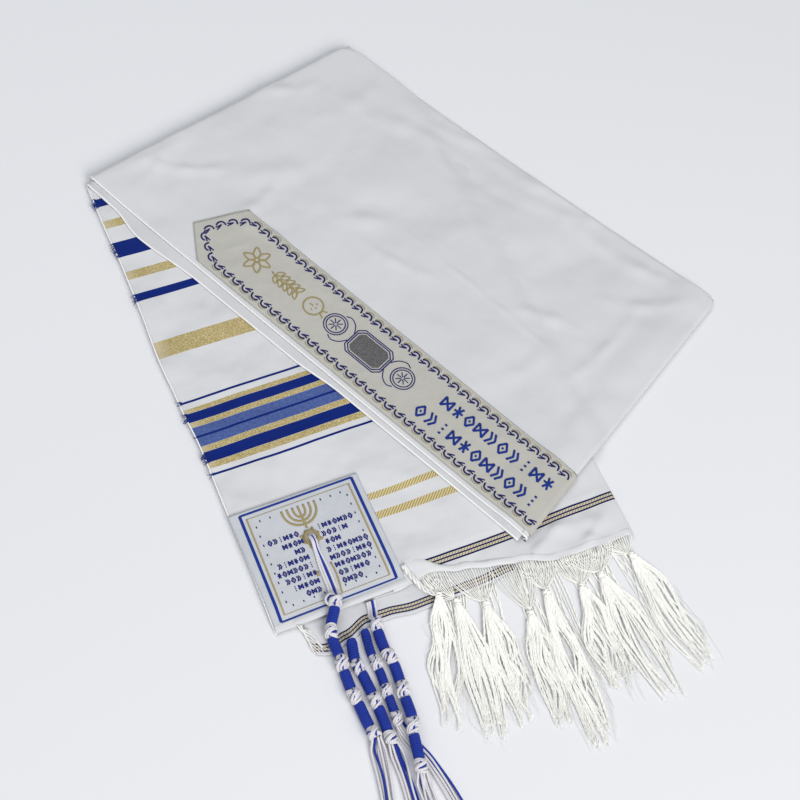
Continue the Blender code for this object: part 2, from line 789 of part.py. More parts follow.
def lock_route(root, tip, waves, count, half):
    """Middles of a lock from its root to its tip, lying on what is below it."""
    way = tip - root.xy
    sideways = Vector((-way.y, way.x)).normalized()
    route = []
    for step in range(1, count + 1):
        share = step / count
        plan = root.xy + way * share
        plan += sideways * waves * math.sin(2 * math.pi * share) * share
        rests = support(plan.x, plan.y) + FLOOR_CLEARANCE + half
        route.append(Vector((plan.x, plan.y, max(rests, mix(root.z, rests, smooth(share * 2.5))))))
    return route


def tassel_fringe(row, index, material, stand):
    """One knotted fringe tassel: threads fan from the hem into its knot, and locks hang out of it."""
    knot_x, knot_y, hem_from, hem_to, tip_x, tip_y, spread, locks = row
    knot = Vector((knot_x, knot_y))
    heading = (Vector((tip_x, tip_y)) - knot).normalized()
    side = Vector((-heading.y, heading.x))
    size = Vector((locks * LOCK_SPACING, FRINGE_KNOT.y, FRINGE_KNOT.z))
    rest = max(support(*(knot + side * s)) for s in (-size.x / 2, 0.0, size.x / 2))
    middle = Vector((knot.x, knot.y, rest + FLOOR_CLEARANCE + size.z / 2))
    bm = bmesh.new()
    bmesh.ops.create_cube(bm, size=1.0)
    across = [e for e in bm.edges if abs(e.verts[0].co.x - e.verts[1].co.x) > 0.5]
    bmesh.ops.subdivide_edges(bm, edges=across, cuts=locks - 1, use_grid_fill=True)
    lengthwise = [e for e in bm.edges if abs(e.verts[0].co.y - e.verts[1].co.y) > 0.5]
    bmesh.ops.subdivide_edges(bm, edges=lengthwise, cuts=1, use_grid_fill=True)
    for vert in bm.verts:
        bulge = 1.0 if abs(vert.co.y) < 0.1 else 0.62
        local = Vector((vert.co.x * size.x, vert.co.y * size.y, vert.co.z * size.z * bulge))
        plan = knot + side * local.x + heading * local.y
        vert.co = (plan.x, plan.y, middle.z + local.z)
    bmesh.ops.recalc_face_normals(bm, faces=bm.faces[:])
    onwards = {face: (face.calc_center_median().xy - knot).dot(heading) / size.y for face in bm.faces}
    ends = [face for face, share in onwards.items() if share > 0.45]
    roots = [face for face, share in onwards.items() if share < -0.45]
    bmesh.ops.inset_individual(bm, faces=ends + roots, thickness=0.00025)
    order = lambda face: face.calc_center_median().xy.dot(side)
    for number, face in enumerate(sorted(ends, key=order)):
        lean = 2 * number / (locks - 1) - 1
        tip = Vector((tip_x, tip_y)) + side * lean * spread
        tip -= heading * 0.006 * ((number * 2 + index) % 3)
        route = lock_route(face.calc_center_median(), tip, 0.003 * (-1) ** index, 4, LOCK_HALF)
        grow_strand(bm, face, route, [LOCK_HALF * 1.15, LOCK_HALF * 1.1, LOCK_HALF, LOCK_HALF * 0.6])
    for number, face in enumerate(sorted(roots, key=order)):
        share = number / (locks - 1)
        x = mix(hem_from, hem_to, share)
        hem = Vector((x, hem_y(x) - ROOT_GAP, striped_top(x, hem_y(x)) - WALL / 2))
        start = face.calc_center_median()
        halfway = mix(start, hem, 0.5)
        halfway.z = max(halfway.z, support(halfway.x, halfway.y) + FLOOR_CLEARANCE + LOCK_HALF)
        grow_strand(bm, face, [halfway, hem], [LOCK_HALF * 0.85, LOCK_HALF * 0.75])
    face_outwards(bm)
    new_object(bm, f"fringe_tassel_{index + 1}", material, stand)


def curve_through(points, share):
    """A smooth way through plan points: a Catmull-Rom curve, read by share of its spans."""
    spans = len(points) - 1
    span = min(int(share * spans), spans - 1)
    t = share * spans - span
    knots = [Vector(points[min(max(span + k, 0), spans)]) for k in (-1, 0, 1, 2)]
    a = 2 * knots[1]
    b = knots[2] - knots[0]
    c = 2 * knots[0] - 5 * knots[1] + 4 * knots[2] - knots[3]
    d = 3 * knots[1] - knots[0] - 3 * knots[2] + knots[3]
    return (a + b * t + c * t * t + d * t * t * t) / 2


KNOT_RINGS = ((0.0, 0.78), (0.5, 1.0), (1.0, 0.72))
WINDING_RINGS = ((0.06, 1.0), (0.94, 1.0))
TAPERED_RINGS = ((0.0, 0.37), (0.28, 0.93), (0.94, 1.0))


def wound_rings(spans, knot_first):
    """Rings of a wound body, as (share, radius): a double knot or a winding fills each span of its
    route in turn, and a winding that comes first is tapered at its top."""
    rings = []
    for span in range(spans):
        knot = (span % 2 == 0) == knot_first
        if knot:
            table = KNOT_RINGS
        else:
            table = WINDING_RINGS if span else TAPERED_RINGS
        radius = KNOT_RADIUS if knot else WINDING_RADIUS
        rings += [((span + at) / spans, radius * size) for at, size in table]
    return rings


def highest_under(plan, sideways, onwards):
    """Highest cloth under a small patch of the plan."""
    return max(support(*(plan + sideways * a + onwards * b)) for a in (-1, 0, 1) for b in (-1, 0, 1))


def tail_place(middles, share):
    """A place on the tails' middle way, with the way's left-hand side."""
    place = curve_through(middles, share)
    way = curve_through(middles, min(share + 0.02, 1.0)) - curve_through(middles, max(share - 0.02, 0.0))
    return place, Vector((-way.y, way.x)).normalized()


def build_tzitzit(name, spec, material, stand):
    """One tassel: its top cords, its wound and knotted body and its eight tail strands."""
    rings = wound_rings(len(spec["body"]) - 1, spec["knot_first"])
    bm = bmesh.new()
    disc = bm.verts.layers.float_vector.new("disc")
    bmesh.ops.create_grid(bm, x_segments=4, y_segments=2, size=1.0)
    for vert in bm.verts:
        x, y = vert.co.x, vert.co.y
        vert[disc] = (x * math.sqrt(1 - y * y / 2), y * math.sqrt(1 - x * x / 2), 0.0)
    cap = bm.faces[:]
    top = cap[:]
    for number, (share, full) in enumerate(rings):
        radius = full * spec["size"]
        middle = curve_through(spec["body"], share)
        ahead = curve_through(spec["body"], min(share + 0.02, 1.0))
        behind = curve_through(spec["body"], max(share - 0.02, 0.0))
        heading = (ahead - behind).xy.normalized()
        side = Vector((-heading.y, heading.x))
        rests = highest_under(middle.xy, side * radius * 0.7, heading * radius) + middle.z
        if number:
            inner = cap
            grown = bmesh.ops.extrude_face_region(bm, geom=inner)["geom"]
            cap = [g for g in grown if isinstance(g, bmesh.types.BMFace)]
            if number > 1:
                bmesh.ops.delete(bm, geom=inner, context="FACES")
        for vert in {v for face in cap for v in face.verts}:
            place = middle.xy + side * vert[disc].x * radius
            vert.co = (place.x, place.y, rests + FLOOR_CLEARANCE + radius * (1 + vert[disc].y))
    bm.normal_update()
    bmesh.ops.inset_individual(bm, faces=cap, thickness=0.0002)
    tail_middles = [middle.xy] + [Vector(point) for point in spec["tails"]]
    middle_height = rests + FLOOR_CLEARANCE + radius
    for face in cap:
        start = face.calc_center_median()
        lean = (start.xy - middle.xy).dot(side) / radius
        route = []
        for part in TAIL_SHARES:
            place, across = tail_place(tail_middles, part)
            place += across * lean * mix(radius, spec["spread"], smooth(part * TAIL_DROP))
            low = support(place.x, place.y) + FLOOR_CLEARANCE + TAIL_HALF * TAIL_SWELL
            high = low + (TAIL_STEP if start.z > middle_height else 0.0)
            route.append(Vector((place.x, place.y, mix(start.z, high, smooth(part * TAIL_DROP)))))
        grow_strand(bm, face, route, [TAIL_HALF] + [TAIL_HALF * TAIL_SWELL] * 5 + [TAIL_HALF * TAIL_TIP])
    if spec["cords"]:
        grow_cords(bm, top, spec["cords"])
    face_outwards(bm)
    new_object(bm, name, material, stand)


def grow_cords(bm, faces, points):
    """Four cords from the body's top, side by side up to where they come out of the cloth. Each of the
    points is a plan place with its lift above the cloth."""
    lower = sorted(faces, key=lambda face: face.calc_center_median().z)[:4]
    bmesh.ops.inset_individual(bm, faces=lower, thickness=0.0002)
    backwards = [Vector(point) for point in reversed(points)]
    way = (backwards[-1].xy - backwards[0].xy).normalized()
    side = Vector((way.y, -way.x))
    for face in lower:
        lean = (face.calc_center_median().xy - backwards[0].xy).dot(side)
        route = []
        for number, point in enumerate(backwards):
            squeeze = mix(*CORD_SQUEEZE, number / (len(backwards) - 1))
            place = point.xy + side * lean * squeeze
            rests = highest_under(place, side * CORD_HALF, way * 0.002)
            route.append(Vector((place.x, place.y, rests + FLOOR_CLEARANCE + CORD_HALF + point.z)))
        grow_strand(bm, face, route, [CORD_HALF] * len(route))


# ---------------------------------------------------------------- the object

def clear_scene():
    for obj in list(bpy.data.objects):
        bpy.data.objects.remove(obj, do_unlink=True)


def main():
    clear_scene()
    parts = bpy.data.collections.new(NAME)
    cutters = bpy.data.collections.new(NAME + "_guides")
    for collection in (parts, cutters):
        bpy.context.scene.collection.children.link(collection)
    stand = bpy.data.objects.new(NAME + "_stand", None)
    stand.location = (-PLAN_CENTRE.x, -PLAN_CENTRE.y, 0.0)
    parts.objects.link(stand)
    materials = {name: new_material(name) for name in COLOURS}

    build_hidden_layers(materials["cloth"], stand, cutters)
    build_striped_end(materials["striped"], stand)
    build_second_end(materials["striped"], stand)
    build_second_edge(materials["cloth"], stand)
    build_body_panel(materials["cloth"], stand)
    build_neckband(materials["neckband"], stand)
    build_corner_patch(materials["patch"], stand)
    build_eyelet(materials["gold"], stand)
    for name, spec in TZITZIT.items():
        build_tzitzit(name, spec, materials["tassel"], stand)
    for index, row in enumerate(FRINGE):
        tassel_fringe(row, index, materials["fringe"], stand)


main()
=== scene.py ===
"""Dresses the folded tallit: cloth layers, woven stripes, neckband, corner patch, tzitzit and fringe.

Plans are drawn in the folded strip's own frame, in metres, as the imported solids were: x runs across the
strip from its open selvedges, y from the striped end's hem towards the skewed fold. PLAN_CENTRE takes them
to the row frame.
"""

import random
from math import cos, exp, hypot, pi, radians, sin

import bmesh
import bpy
from bpy.props import FloatProperty, FloatVectorProperty, IntProperty, PointerProperty
from mathutils import Matrix, Vector


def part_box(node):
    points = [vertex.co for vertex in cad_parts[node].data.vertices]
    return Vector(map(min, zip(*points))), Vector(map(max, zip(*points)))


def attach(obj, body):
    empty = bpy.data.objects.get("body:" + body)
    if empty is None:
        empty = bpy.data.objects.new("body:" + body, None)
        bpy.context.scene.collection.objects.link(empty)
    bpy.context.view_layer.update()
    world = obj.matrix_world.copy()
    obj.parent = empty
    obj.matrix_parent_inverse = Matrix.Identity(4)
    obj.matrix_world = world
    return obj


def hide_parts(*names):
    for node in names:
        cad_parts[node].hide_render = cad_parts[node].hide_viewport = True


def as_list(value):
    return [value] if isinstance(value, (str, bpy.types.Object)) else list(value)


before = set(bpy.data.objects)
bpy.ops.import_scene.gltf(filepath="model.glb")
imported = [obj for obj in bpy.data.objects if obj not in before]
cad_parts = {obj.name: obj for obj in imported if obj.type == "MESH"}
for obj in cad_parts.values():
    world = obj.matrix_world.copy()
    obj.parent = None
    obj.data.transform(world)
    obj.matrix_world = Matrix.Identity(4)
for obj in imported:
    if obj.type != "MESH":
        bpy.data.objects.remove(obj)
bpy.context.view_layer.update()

bl_info = {
    "name": "Folded tallit",
    "version": (1, 0, 0),
    "blender": (4, 5, 0),
    "location": "3D View > Sidebar > Tallit",
    "description": "Cloth, woven stripes, embroidery, tassels and fringe for a folded prayer shawl",
    "category": "Object",
}

# ---------------------------------------------------------------- sizes, as the solids have them

STRIP_WIDTH = 0.280
WALL = 0.0012
GAP = 0.0003
LAYER = WALL + GAP
HIDDEN_HEIGHT = 0.0030
STRIPED_TOP = HIDDEN_HEIGHT + LAYER
FOLDED_TOP = 2 * STRIPED_TOP + GAP
FOLDED_TOP_BESIDE = 0.0048

# The folded-back half: its corners, how far its folds bulge out of the plan, how the pile swells there, and
# how strongly creases show on it and on the striped end
SKEW_SELVEDGE = Vector((0.0032, 0.4119))
SKEW_CREASE = Vector((0.2585, 0.4765))
MIDDLE_CREASE = Vector((0.4460, 0.1370))
MIDDLE_SELVEDGE = Vector((0.1990, 0.0006))
CREASE_BOW = 0.0034
CREASE_RAMP = 0.0220
SKEW_ROUND = 0.0110
MIDDLE_ROUND = 0.0080
SKEW_REACH = 0.0060
CREASE_REACH = 0.0030
MIDDLE_REACH = 0.0040
SKEW_SWELL = 0.0022
SKEW_SWELL_WIDTH = 0.0350
MIDDLE_SWELL = 0.0019
MIDDLE_SWELL_AT = 0.0200
MIDDLE_SWELL_WIDTH = 0.0150
PANEL_HEADING = 64.6
PANEL_RIDGES = 2.4
STRIP_RIDGES = 2.6
STRIP_TROUGH = 0.0001
CREASE_CLEAR = 0.0020
CREASE_FADE = 0.0100
FLOOR_RAMP = 0.0100

# The second layer: how far in its strip runs, how far it stops from each fold, its loop's reach and where
# across it starts to lie level. Both layers' folds come down to one height and have the same selvedge cord
SECOND_INNER = 0.0100
SECOND_ENDS = (0.0072, 0.0045)
SECOND_LOOP = 0.0042
SECOND_LEVEL_FROM = -0.0006
FOLD_LOW = 0.0008
SELVEDGE_HALF = 0.00078

# The striped end drops over the hidden layers' hem, and keeps its height at the lengthwise fold
BLOCK_HEM = 0.0080
HEM_SLOPE = 0.0100
RAMP = 0.0060
CREASE_LIFT_FROM = 0.2500
SECOND_END_LEFT = 0.0200
SECOND_END_RIGHT = 0.2760
STRIP_EDGE = STRIP_WIDTH - CREASE_REACH

# The striped end's cloth stops out of sight: before the selvedges' line, past the middle fold's line and
# before the skewed fold's. Then how far past an edge a thread comes down to what lies below it
UNDER_SELVEDGE = 0.0010
UNDER_MIDDLE = 0.0024
SHORT_OF_SKEW = 0.0055
EDGE_DROP = 0.0040
HEM_DROP = 0.0050

PATCH_THICK = 0.0010
PATCH = {"left": -0.0006, "right": 0.1020, "bottom": 0.0010, "top": 0.0955}
EYELET = Vector((0.0502, 0.0588))
EYELET_GATHER = 0.0120
NECKBAND_WIDTH = 0.0640
NECKBAND_INSET = 0.0035
NECKBAND_LENGTH = 0.3660
NECKBAND_THICK = 0.0010

# How far the band runs on round the middle fold and by how many degrees, which of its edges' runs belong
# to its point, and how far across its motifs stand
NECK_WRAP = 0.0070
NECK_TURN = 110
POINT_SIDE = 0.0400
MOTIF_LINE = NECKBAND_WIDTH * 0.52

# Tassels: their windings and knots, how long a first knot has a loop of cord, the close coils, the cords'
# half widths, and how the loose cords fall and lie
WINDING_RADIUS = 0.0043
KNOT_RADIUS = 0.0054
BOW_KNOT = 0.0082
COIL_PITCH = 0.00142
COIL_STEPS = 14
COIL_HALF = 0.00076
COIL_SHARE = 0.97
CORE_HALF = 0.00290
CORD_HALF = 0.00100
TOP_CORDS = 4
TAILS = 8
TAIL_HALF = 0.00088
TAIL_DROP = 5.5
TAIL_LAYER = 0.00168
FLOOR_CLEARANCE = 0.0003
STITCH_RISE = 0.0002
WAY_STEP = 0.02

# Fringe groups: the locks of yarn, how a yarn is plied, the stray hairs, and the turns of a knot
FRINGE_LOCKS = 4
LOCK_YARNS = 7
YARN_SPACING = 0.00105
YARN_PLIES = 3
PLY_SHARE = 0.62
HAIRS = 18
HAIR_HALF = 0.00020
KNOT_LOOPS = 6

# The patch's lowest corner in the row frame says where the plan lies there
PATCH_LOW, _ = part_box("corner_patch")
PLAN_CENTRE = Vector((PATCH["left"] - PATCH_LOW.x, PATCH["bottom"] - PATCH_LOW.y, 0.0))

# Each hem's y by x, the second end's far edge too, and the striped selvedge's x by y
HEM = (
    (0.0, 0.0), (0.05, 0.001), (0.095, -0.001), (0.11, 0.001), (0.122, 0.003), (0.145, -0.0025),
    (0.165, -0.008), (0.19, -0.013), (0.216, -0.021), (0.263, -0.0225), (0.29, -0.024),
)
SECOND_HEM = (
    (0.015, -0.0225), (0.03, -0.0275), (0.045, -0.0235), (0.064, -0.0175), (0.08, -0.018), (0.1, -0.0205),
    (0.15, -0.02), (0.18, -0.018), (0.192, -0.0085), (0.216, -0.015), (0.29, -0.019),
)
SECOND_BACK = (
    (0.18, 0.0074), (0.19, 0.0015), (0.206, 0.0015), (0.216, 0.0074),
)
SELVEDGE = (
    (-0.03, -0.001), (0.0, -0.001), (0.095, 0.0004), (0.155, 0.0014), (0.197, -0.0008), (0.236, -0.0022),
    (0.293, 0.0003), (0.334, 0.0014), (0.364, -0.0004), (0.42, 0.0),
)
# How far the second layer shows by share of the way, and how far back the band starts by share across it
SECOND_SHOWS = (
    (0.0, 0.0046), (0.06, 0.0055), (0.14, 0.012), (0.28, 0.008), (0.5, 0.0076), (0.6, 0.0042), (0.8, 0.004),
    (1.0, 0.0045),
)
NECKBAND_POINT = (
    (0.0, 0.0267), (0.18, 0.0135), (0.37, 0.0), (0.68, 0.0108), (1.0, 0.023),
)

# Soft creases in millimetres and degrees: middle x and y, heading, half length, half width, height (minus
# is a trough), and how far it bends. The neckband's are by length along it and distance across
PUCKERS = (
    (120, 372, -8, 50, 10, 0.9, 0), (225, 330, 20, 55, 13, 1.1, 0), (205, 412, 12, 60, 12, 0.8, 0),
    (300, 255, -25, 60, 12, 0.8, 0), (350, 180, 15, 50, 14, 0.9, 0), (290, 135, -40, 45, 10, 0.6, 0),
)
PANEL_CREASES = (
    (310, 300, -58, 60, 6, -0.9, 10), (262, 200, -66, 70, 1.2, 0.5, 0), (150, 420, 18, 50, 8, -1, 8),
    (85, 390, -20, 26, 5, 0.9, 4), (350, 290, -50, 40, 6, 0.9, 5), (330, 210, 4, 45, 9, -0.9, -6),
    (240, 290, -30, 50, 10, -0.9, 7), (385, 150, -20, 30, 6, 0.8, 4), (200, 365, 35, 30, 7, -0.8, 6),
    (275, 370, -48, 35, 8, 0.9, -4), (330, 125, 24, 40, 5, 0.7, 3), (290, 90, 30, 30, 6, -0.7, 2),
    (125, 345, 24, 22, 5.5, 0.8, 4), (165, 320, -24, 26, 6.5, -0.7, 5), (205, 255, -52, 30, 5, 0.7, 3),
    (60, 405, 40, 18, 4.5, 0.7, 2), (180, 445, -14, 30, 6, 0.8, 4), (380, 205, -62, 36, 7, 0.8, 5),
    (300, 170, -36, 26, 5.5, 0.7, -3), (55, 413, 12, 40, 6, 0.8, 3), (100, 440, 16, 45, 7, 0.6, 2),
    (150, 365, -8, 40, 11, 0.8, 6), (115, 318, -50, 30, 6, 0.6, 4), (200, 300, -20, 34, 8, 0.7, 8),
    (245, 415, 22, 26, 8, 0.6, 4), (310, 355, -45, 34, 6, 0.7, 3), (360, 250, -30, 26, 8, 0.7, 6),
    (260, 130, 10, 30, 7, 0.6, 4), (400, 180, -50, 20, 6, 0.6, 2),
)
STRIP_CREASES = (
    (235, 0, -12, 30, 6, 0.9, 3), (210, -6, 20, 22, 5, 0.7, 2), (250, -12, 30, 16, 4, 0.8, 2),
    (180, 4, -8, 20, 4.5, 0.8, 2),
)
NECK_CREASES = (
    (40, 30, 62, 20, 2.6, 0.7, 2), (75, 18, -35, 18, 4, 0.4, 3), (128, 50, 15, 22, 3.6, 0.5, 2),
    (215, 30, -70, 16, 3.4, 0.5, 2), (290, 42, 20, 30, 4.4, 0.5, 3), (335, 16, -40, 16, 3.4, 0.4, 2),
)

# Each tassel: the route of its cords' middle as plan place and lift above the cloth, the ends of its body's
# double knots and windings in turn (with a lift where it has one), and its tails' way. A tassel whose cords
# show starts with a knot, the others with a winding
TZITZIT = {
    "tzitzit_1": {
        "cords": ((0.05, 0.0595, 0.0003), (0.05, 0.054, 0.0028), (0.0496, 0.048, 0.0004),
                  (0.0492, 0.034, 0.0), (0.0488, 0.02, 0.0), (0.0484, 0.014, 0.0008)),
        "body": ((0.0477, 0.009), (0.044, 0.0015), (0.0369, -0.009), (0.034, -0.018), (0.0338, -0.0318),
                 (0.0327, -0.0432), (0.032, -0.0573), (0.0327, -0.0683), (0.0332, -0.0869),
                 (0.0344, -0.095)),
        "tails": ((0.029, -0.12), (0.017, -0.175), (0.01, -0.253)),
        "blue_tails": (5,),
        "spread": 0.0058,
        "size": 1.0,
    },
    "tzitzit_2": {
        "cords": (),
        "body": ((0.0462, -0.0238), (0.043, -0.0386), (0.0437, -0.0489), (0.0444, -0.0656),
                 (0.0446, -0.0761), (0.0439, -0.0946), (0.0436, -0.102)),
        "tails": ((0.042, -0.13), (0.035, -0.18), (0.0275, -0.256)),
        "blue_tails": (3, 6),
        "spread": 0.005,
        "size": 1.0,
    },
    "tzitzit_3": {
        "cords": ((0.0712, -0.0016, 0.0), (0.0704, -0.007, 0.0), (0.0688, -0.0125, 0.0006)),
        "body": ((0.068, -0.0165), (0.0668, -0.0244), (0.066, -0.0395), (0.0676, -0.0507), (0.0664, -0.0646),
                 (0.0645, -0.0771, 0.002), (0.0625, -0.0924, 0.0042), (0.0585, -0.104, 0.0047),
                 (0.055, -0.1215, 0.0047), (0.053, -0.129, 0.004)),
        "tails": ((0.0515, -0.15), (0.05, -0.2), (0.048, -0.285)),
        "blue_tails": (1,),
        "spread": 0.0058,
        "size": 1.0,
    },
    "tzitzit_4": {
        "cords": (),
        "body": ((0.058, -0.0205), (0.0556, -0.04), (0.0562, -0.051), (0.0554, -0.0625), (0.0547, -0.0715),
                 (0.054, -0.0835), (0.0532, -0.0915)),
        "tails": ((0.057, -0.107), (0.064, -0.125), (0.069, -0.17), (0.068, -0.248)),
        "blue_tails": (2, 7),
        "spread": 0.0043,
        "size": 0.88,
    },
}

# Fringe tassels: the knot, the stretch of hem that it gathers, the middle of its locks' ends, their spread
FRINGE = (
    (0.1196, -0.016, 0.106, 0.129, 0.089, -0.106, 0.007),
    (0.1305, -0.025, 0.112, 0.134, 0.1145, -0.129, 0.0085),
    (0.1495, -0.0345, 0.129, 0.166, 0.142, -0.119, 0.0085),
    (0.1775, -0.0525, 0.162, 0.198, 0.166, -0.134, 0.007),
    (0.1955, -0.042, 0.183, 0.214, 0.185, -0.156, 0.0075),
    (0.223, -0.048, 0.208, 0.249, 0.216, -0.133, 0.009), (0.241, -0.044, 0.216, 0.261, 0.25, -0.143, 0.011),
    (0.2705, -0.039, 0.25, 0.2775, 0.283, -0.133, 0.008),
)
# The second end's own locks, which lie under the first one's: where they leave its hem, and their tips
BACK_FRINGE = (
    (0.132, 0.116, -0.098), (0.156, 0.14, -0.108), (0.184, 0.178, -0.104), (0.205, 0.201, -0.124),
    (0.223, 0.233, -0.12), (0.245, 0.244, -0.118), (0.262, 0.27, -0.112),
)

# ---------------------------------------------------------------- the look

# Woven stripes of the striped end from its far end to its hem, and the hem border from its lowest line
STRIPES = (
    (0.384, 0.392, "royal"), (0.3625, 0.37, "gold"), (0.3337, 0.3484, "royal"), (0.3117, 0.3196, "gold"),
    (0.2907, 0.2979, "royal"), (0.2365, 0.2516, "gold"), (0.1942, 0.1962, "royal"), (0.1856, 0.1895, "gold"),
    (0.1778, 0.1856, "royal"), (0.1734, 0.1778, "gold"), (0.1567, 0.1734, "denim"),
    (0.1643, 0.1662, "royal"), (0.1517, 0.1567, "gold"), (0.1423, 0.1517, "royal"), (0.137, 0.1423, "gold"),
    (0.1309, 0.1329, "royal"), (0.0719, 0.0775, "twill"), (0.0551, 0.0613, "twill"),
)
BORDER = (
    (0.0, 0.0015, "navy"), (0.0015, 0.0031, "cream"), (0.0031, 0.0044, "navy"), (0.0044, 0.006, "cream"),
    (0.006, 0.0075, "navy"),
)
BORDER_LOW = 0.0065
SECOND_BORDER_LOW = 0.0021
SECOND_BORDER_SQUEEZE = 0.86
WHITE = (0.640, 0.652, 0.668)
CLOTH_THREADS = 2200.0

FLOOR_HALF = 6.0
FLOOR_BELOW = 0.0002
CAMERA = {
    "place": Vector((-0.22355, -0.34630, 1.09375)),
    "right": Vector((0.903787, -0.405959, 0.135524)),
    "up": Vector((0.300111, 0.826900, 0.475574)),
}


# ---------------------------------------------------------------- small helpers

def mix(low, high, share):
    return low + (high - low) * share


def even(count):
    return [step / count for step in range(count + 1)]


def smooth(share):
    """Runs from 0 to 1 with level ends."""
    share = min(max(share, 0.0), 1.0)
    return share * share * (3 - 2 * share)


def onto(inside, ramp):
    """1 inside an edge, falling to 0 at a ramp's length outside it."""
    return smooth((inside + ramp) / ramp)


def along_table(table, at, ease=smooth):
    """Reads a two-column table at a place in its first column; ease shapes the runs between its rows."""
    if at <= table[0][0]:
        return table[0][1]
    for (start, low), (end, high) in zip(table, table[1:]):
        if at <= end:
            return mix(low, high, ease((at - start) / (end - start)))
    return table[-1][1]


def turned(heading):
    """Unit plan vector at a heading in degrees from +x."""
    return Vector((cos(radians(heading)), sin(radians(heading))))


def left_of(way):
    return Vector((-way.y, way.x))


def outward(start, end):
    """Unit normal on the left of the way from start to end."""
    return left_of((end - start).normalized())


def at_height(plan, height):
    return Vector((plan.x, plan.y, height))


def line_y(start, end, x):
    """Where the line through two plan points is at x."""
    return start.y + (end.y - start.y) * (x - start.x) / (end.x - start.x)


def curve_through(points, share):
    """A smooth way through points: a Catmull-Rom curve, read by share of its spans."""
    spans = len(points) - 1
    span = min(int(share * spans), spans - 1)
    t = share * spans - span
    knots = [Vector(points[min(max(span + k, 0), spans)]) for k in (-1, 0, 1, 2)]
    a = 2 * knots[1]
    b = knots[2] - knots[0]
    c = 2 * knots[0] - 5 * knots[1] + 4 * knots[2] - knots[3]
    d = 3 * knots[1] - knots[0] - 3 * knots[2] + knots[3]
    return (a + b * t + c * t * t + d * t * t * t) / 2


def way_at(points, share):
    """Which way the curve through points runs at a share of it."""
    ahead, behind = min(share + WAY_STEP, 1.0), max(share - WAY_STEP, 0.0)
    return (curve_through(points, ahead) - curve_through(points, behind)).xy.normalized()


# ---------------------------------------------------------------- heights of the pile

SKEW_OUT = outward(SKEW_SELVEDGE, SKEW_CREASE)
CREASE_OUT = outward(SKEW_CREASE, MIDDLE_CREASE)
MIDDLE_OUT = outward(MIDDLE_CREASE, MIDDLE_SELVEDGE)
SELVEDGE_OUT = outward(MIDDLE_SELVEDGE, SKEW_SELVEDGE)


def relief(table, x, y, uneven=0.3, reach=2.2):
    """Sum of a table's soft creases at a plan point, each uneven along its length."""
    height = 0.0
    for mid_x, mid_y, heading, long, wide, high, bend in table:
        way_x, way_y = cos(radians(heading)), sin(radians(heading))
        off_x, off_y = 1000 * x - mid_x, 1000 * y - mid_y
        along = (off_x * way_x + off_y * way_y) / long
        if abs(along) > reach:
            continue
        across = off_y * way_x - off_x * way_y - bend * along * along
        swing = 1.0 + uneven * sin(7.0 * along + 0.04 * mid_x)
        height += high * swing * exp(-along * along - (across / wide) ** 2)
    return height / 1000


def panel_top(point):
    """Height of the folded-back half's outer face at a plan point."""
    height = mix(FOLDED_TOP_BESIDE, FOLDED_TOP, onto(STRIP_WIDTH - point.x, CREASE_RAMP))
    from_skew = (SKEW_SELVEDGE - point.xy).dot(SKEW_OUT)
    from_middle = (MIDDLE_SELVEDGE - point.xy).dot(MIDDLE_OUT)
    height += SKEW_SWELL * exp(-(from_skew / SKEW_SWELL_WIDTH) ** 2)
    height += MIDDLE_SWELL * exp(-((from_middle - MIDDLE_SWELL_AT) / MIDDLE_SWELL_WIDTH) ** 2)
    return height + relief(PUCKERS, point.x, point.y, uneven=0.0, reach=99.0)


def panel_surface(point):
    """The outer face with its fine creases, its ridges stronger than its troughs."""
    fine = relief(PANEL_CREASES, point.x, point.y)
    return panel_top(point) + (PANEL_RIDGES * fine if fine > 0 else fine)


def fold_floor(point):
    """Height that the middle fold rests on: the striped end, then the surface beside it."""
    return (STRIPED_TOP + GAP) * onto(STRIP_WIDTH + CREASE_REACH - point.x, FLOOR_RAMP)


def hem_y(x):
    return along_table(HEM, x)


def second_hem_y(x):
    return along_table(SECOND_HEM, x)


def striped_top(x, y):
    """The striped end's outer face without its fine creases."""
    crease_lift = smooth((x - CREASE_LIFT_FROM) / CREASE_RAMP)
    if y >= BLOCK_HEM:
        return mix(WALL, HIDDEN_HEIGHT, max(min((y - BLOCK_HEM) / HEM_SLOPE, 1.0), crease_lift)) + LAYER
    by_block = onto(y - BLOCK_HEM, RAMP)
    by_left = onto(x - SECOND_END_LEFT + RAMP / 2, RAMP)
    return mix(WALL * max(by_block, by_left), HIDDEN_HEIGHT, crease_lift) + LAYER


def striped_surface(x, y):
    """The striped end's outer face. Its fine creases lie between the hem and the middle fold, and fade out
    before the folded-back half covers them."""
    height = striped_top(x, y)
    if x <= MIDDLE_SELVEDGE.x:
        return height
    clear = smooth((line_y(MIDDLE_SELVEDGE, MIDDLE_CREASE, x) - y - CREASE_CLEAR) / CREASE_FADE)
    return height + max(STRIP_RIDGES * relief(STRIP_CREASES, x, y), -STRIP_TROUGH) * clear


def support(x, y):
    """Top of whatever lies under a tassel or a lock of fringe."""
    second = WALL * onto(y - second_hem_y(x), EDGE_DROP) * onto(x - SECOND_END_LEFT, RAMP)
    height = max(second, mix(second, striped_top(x, y), onto(y - hem_y(x), HEM_DROP)))
    patch = onto(y - PATCH["bottom"], EDGE_DROP) * onto(PATCH["right"] - x, EDGE_DROP)
    return height + patch * (PATCH_THICK + 2 * GAP)


def highest_under(plan, sideways, onwards):
    """Highest cloth under a small patch of the plan."""
    return max(support(*(plan + sideways * a + onwards * b)) for a in (-1, 0, 1) for b in (-1, 0, 1))


def panel_width(along):
    return (mix(SKEW_CREASE, MIDDLE_CREASE, along) - mix(SKEW_SELVEDGE, MIDDLE_SELVEDGE, along)).length


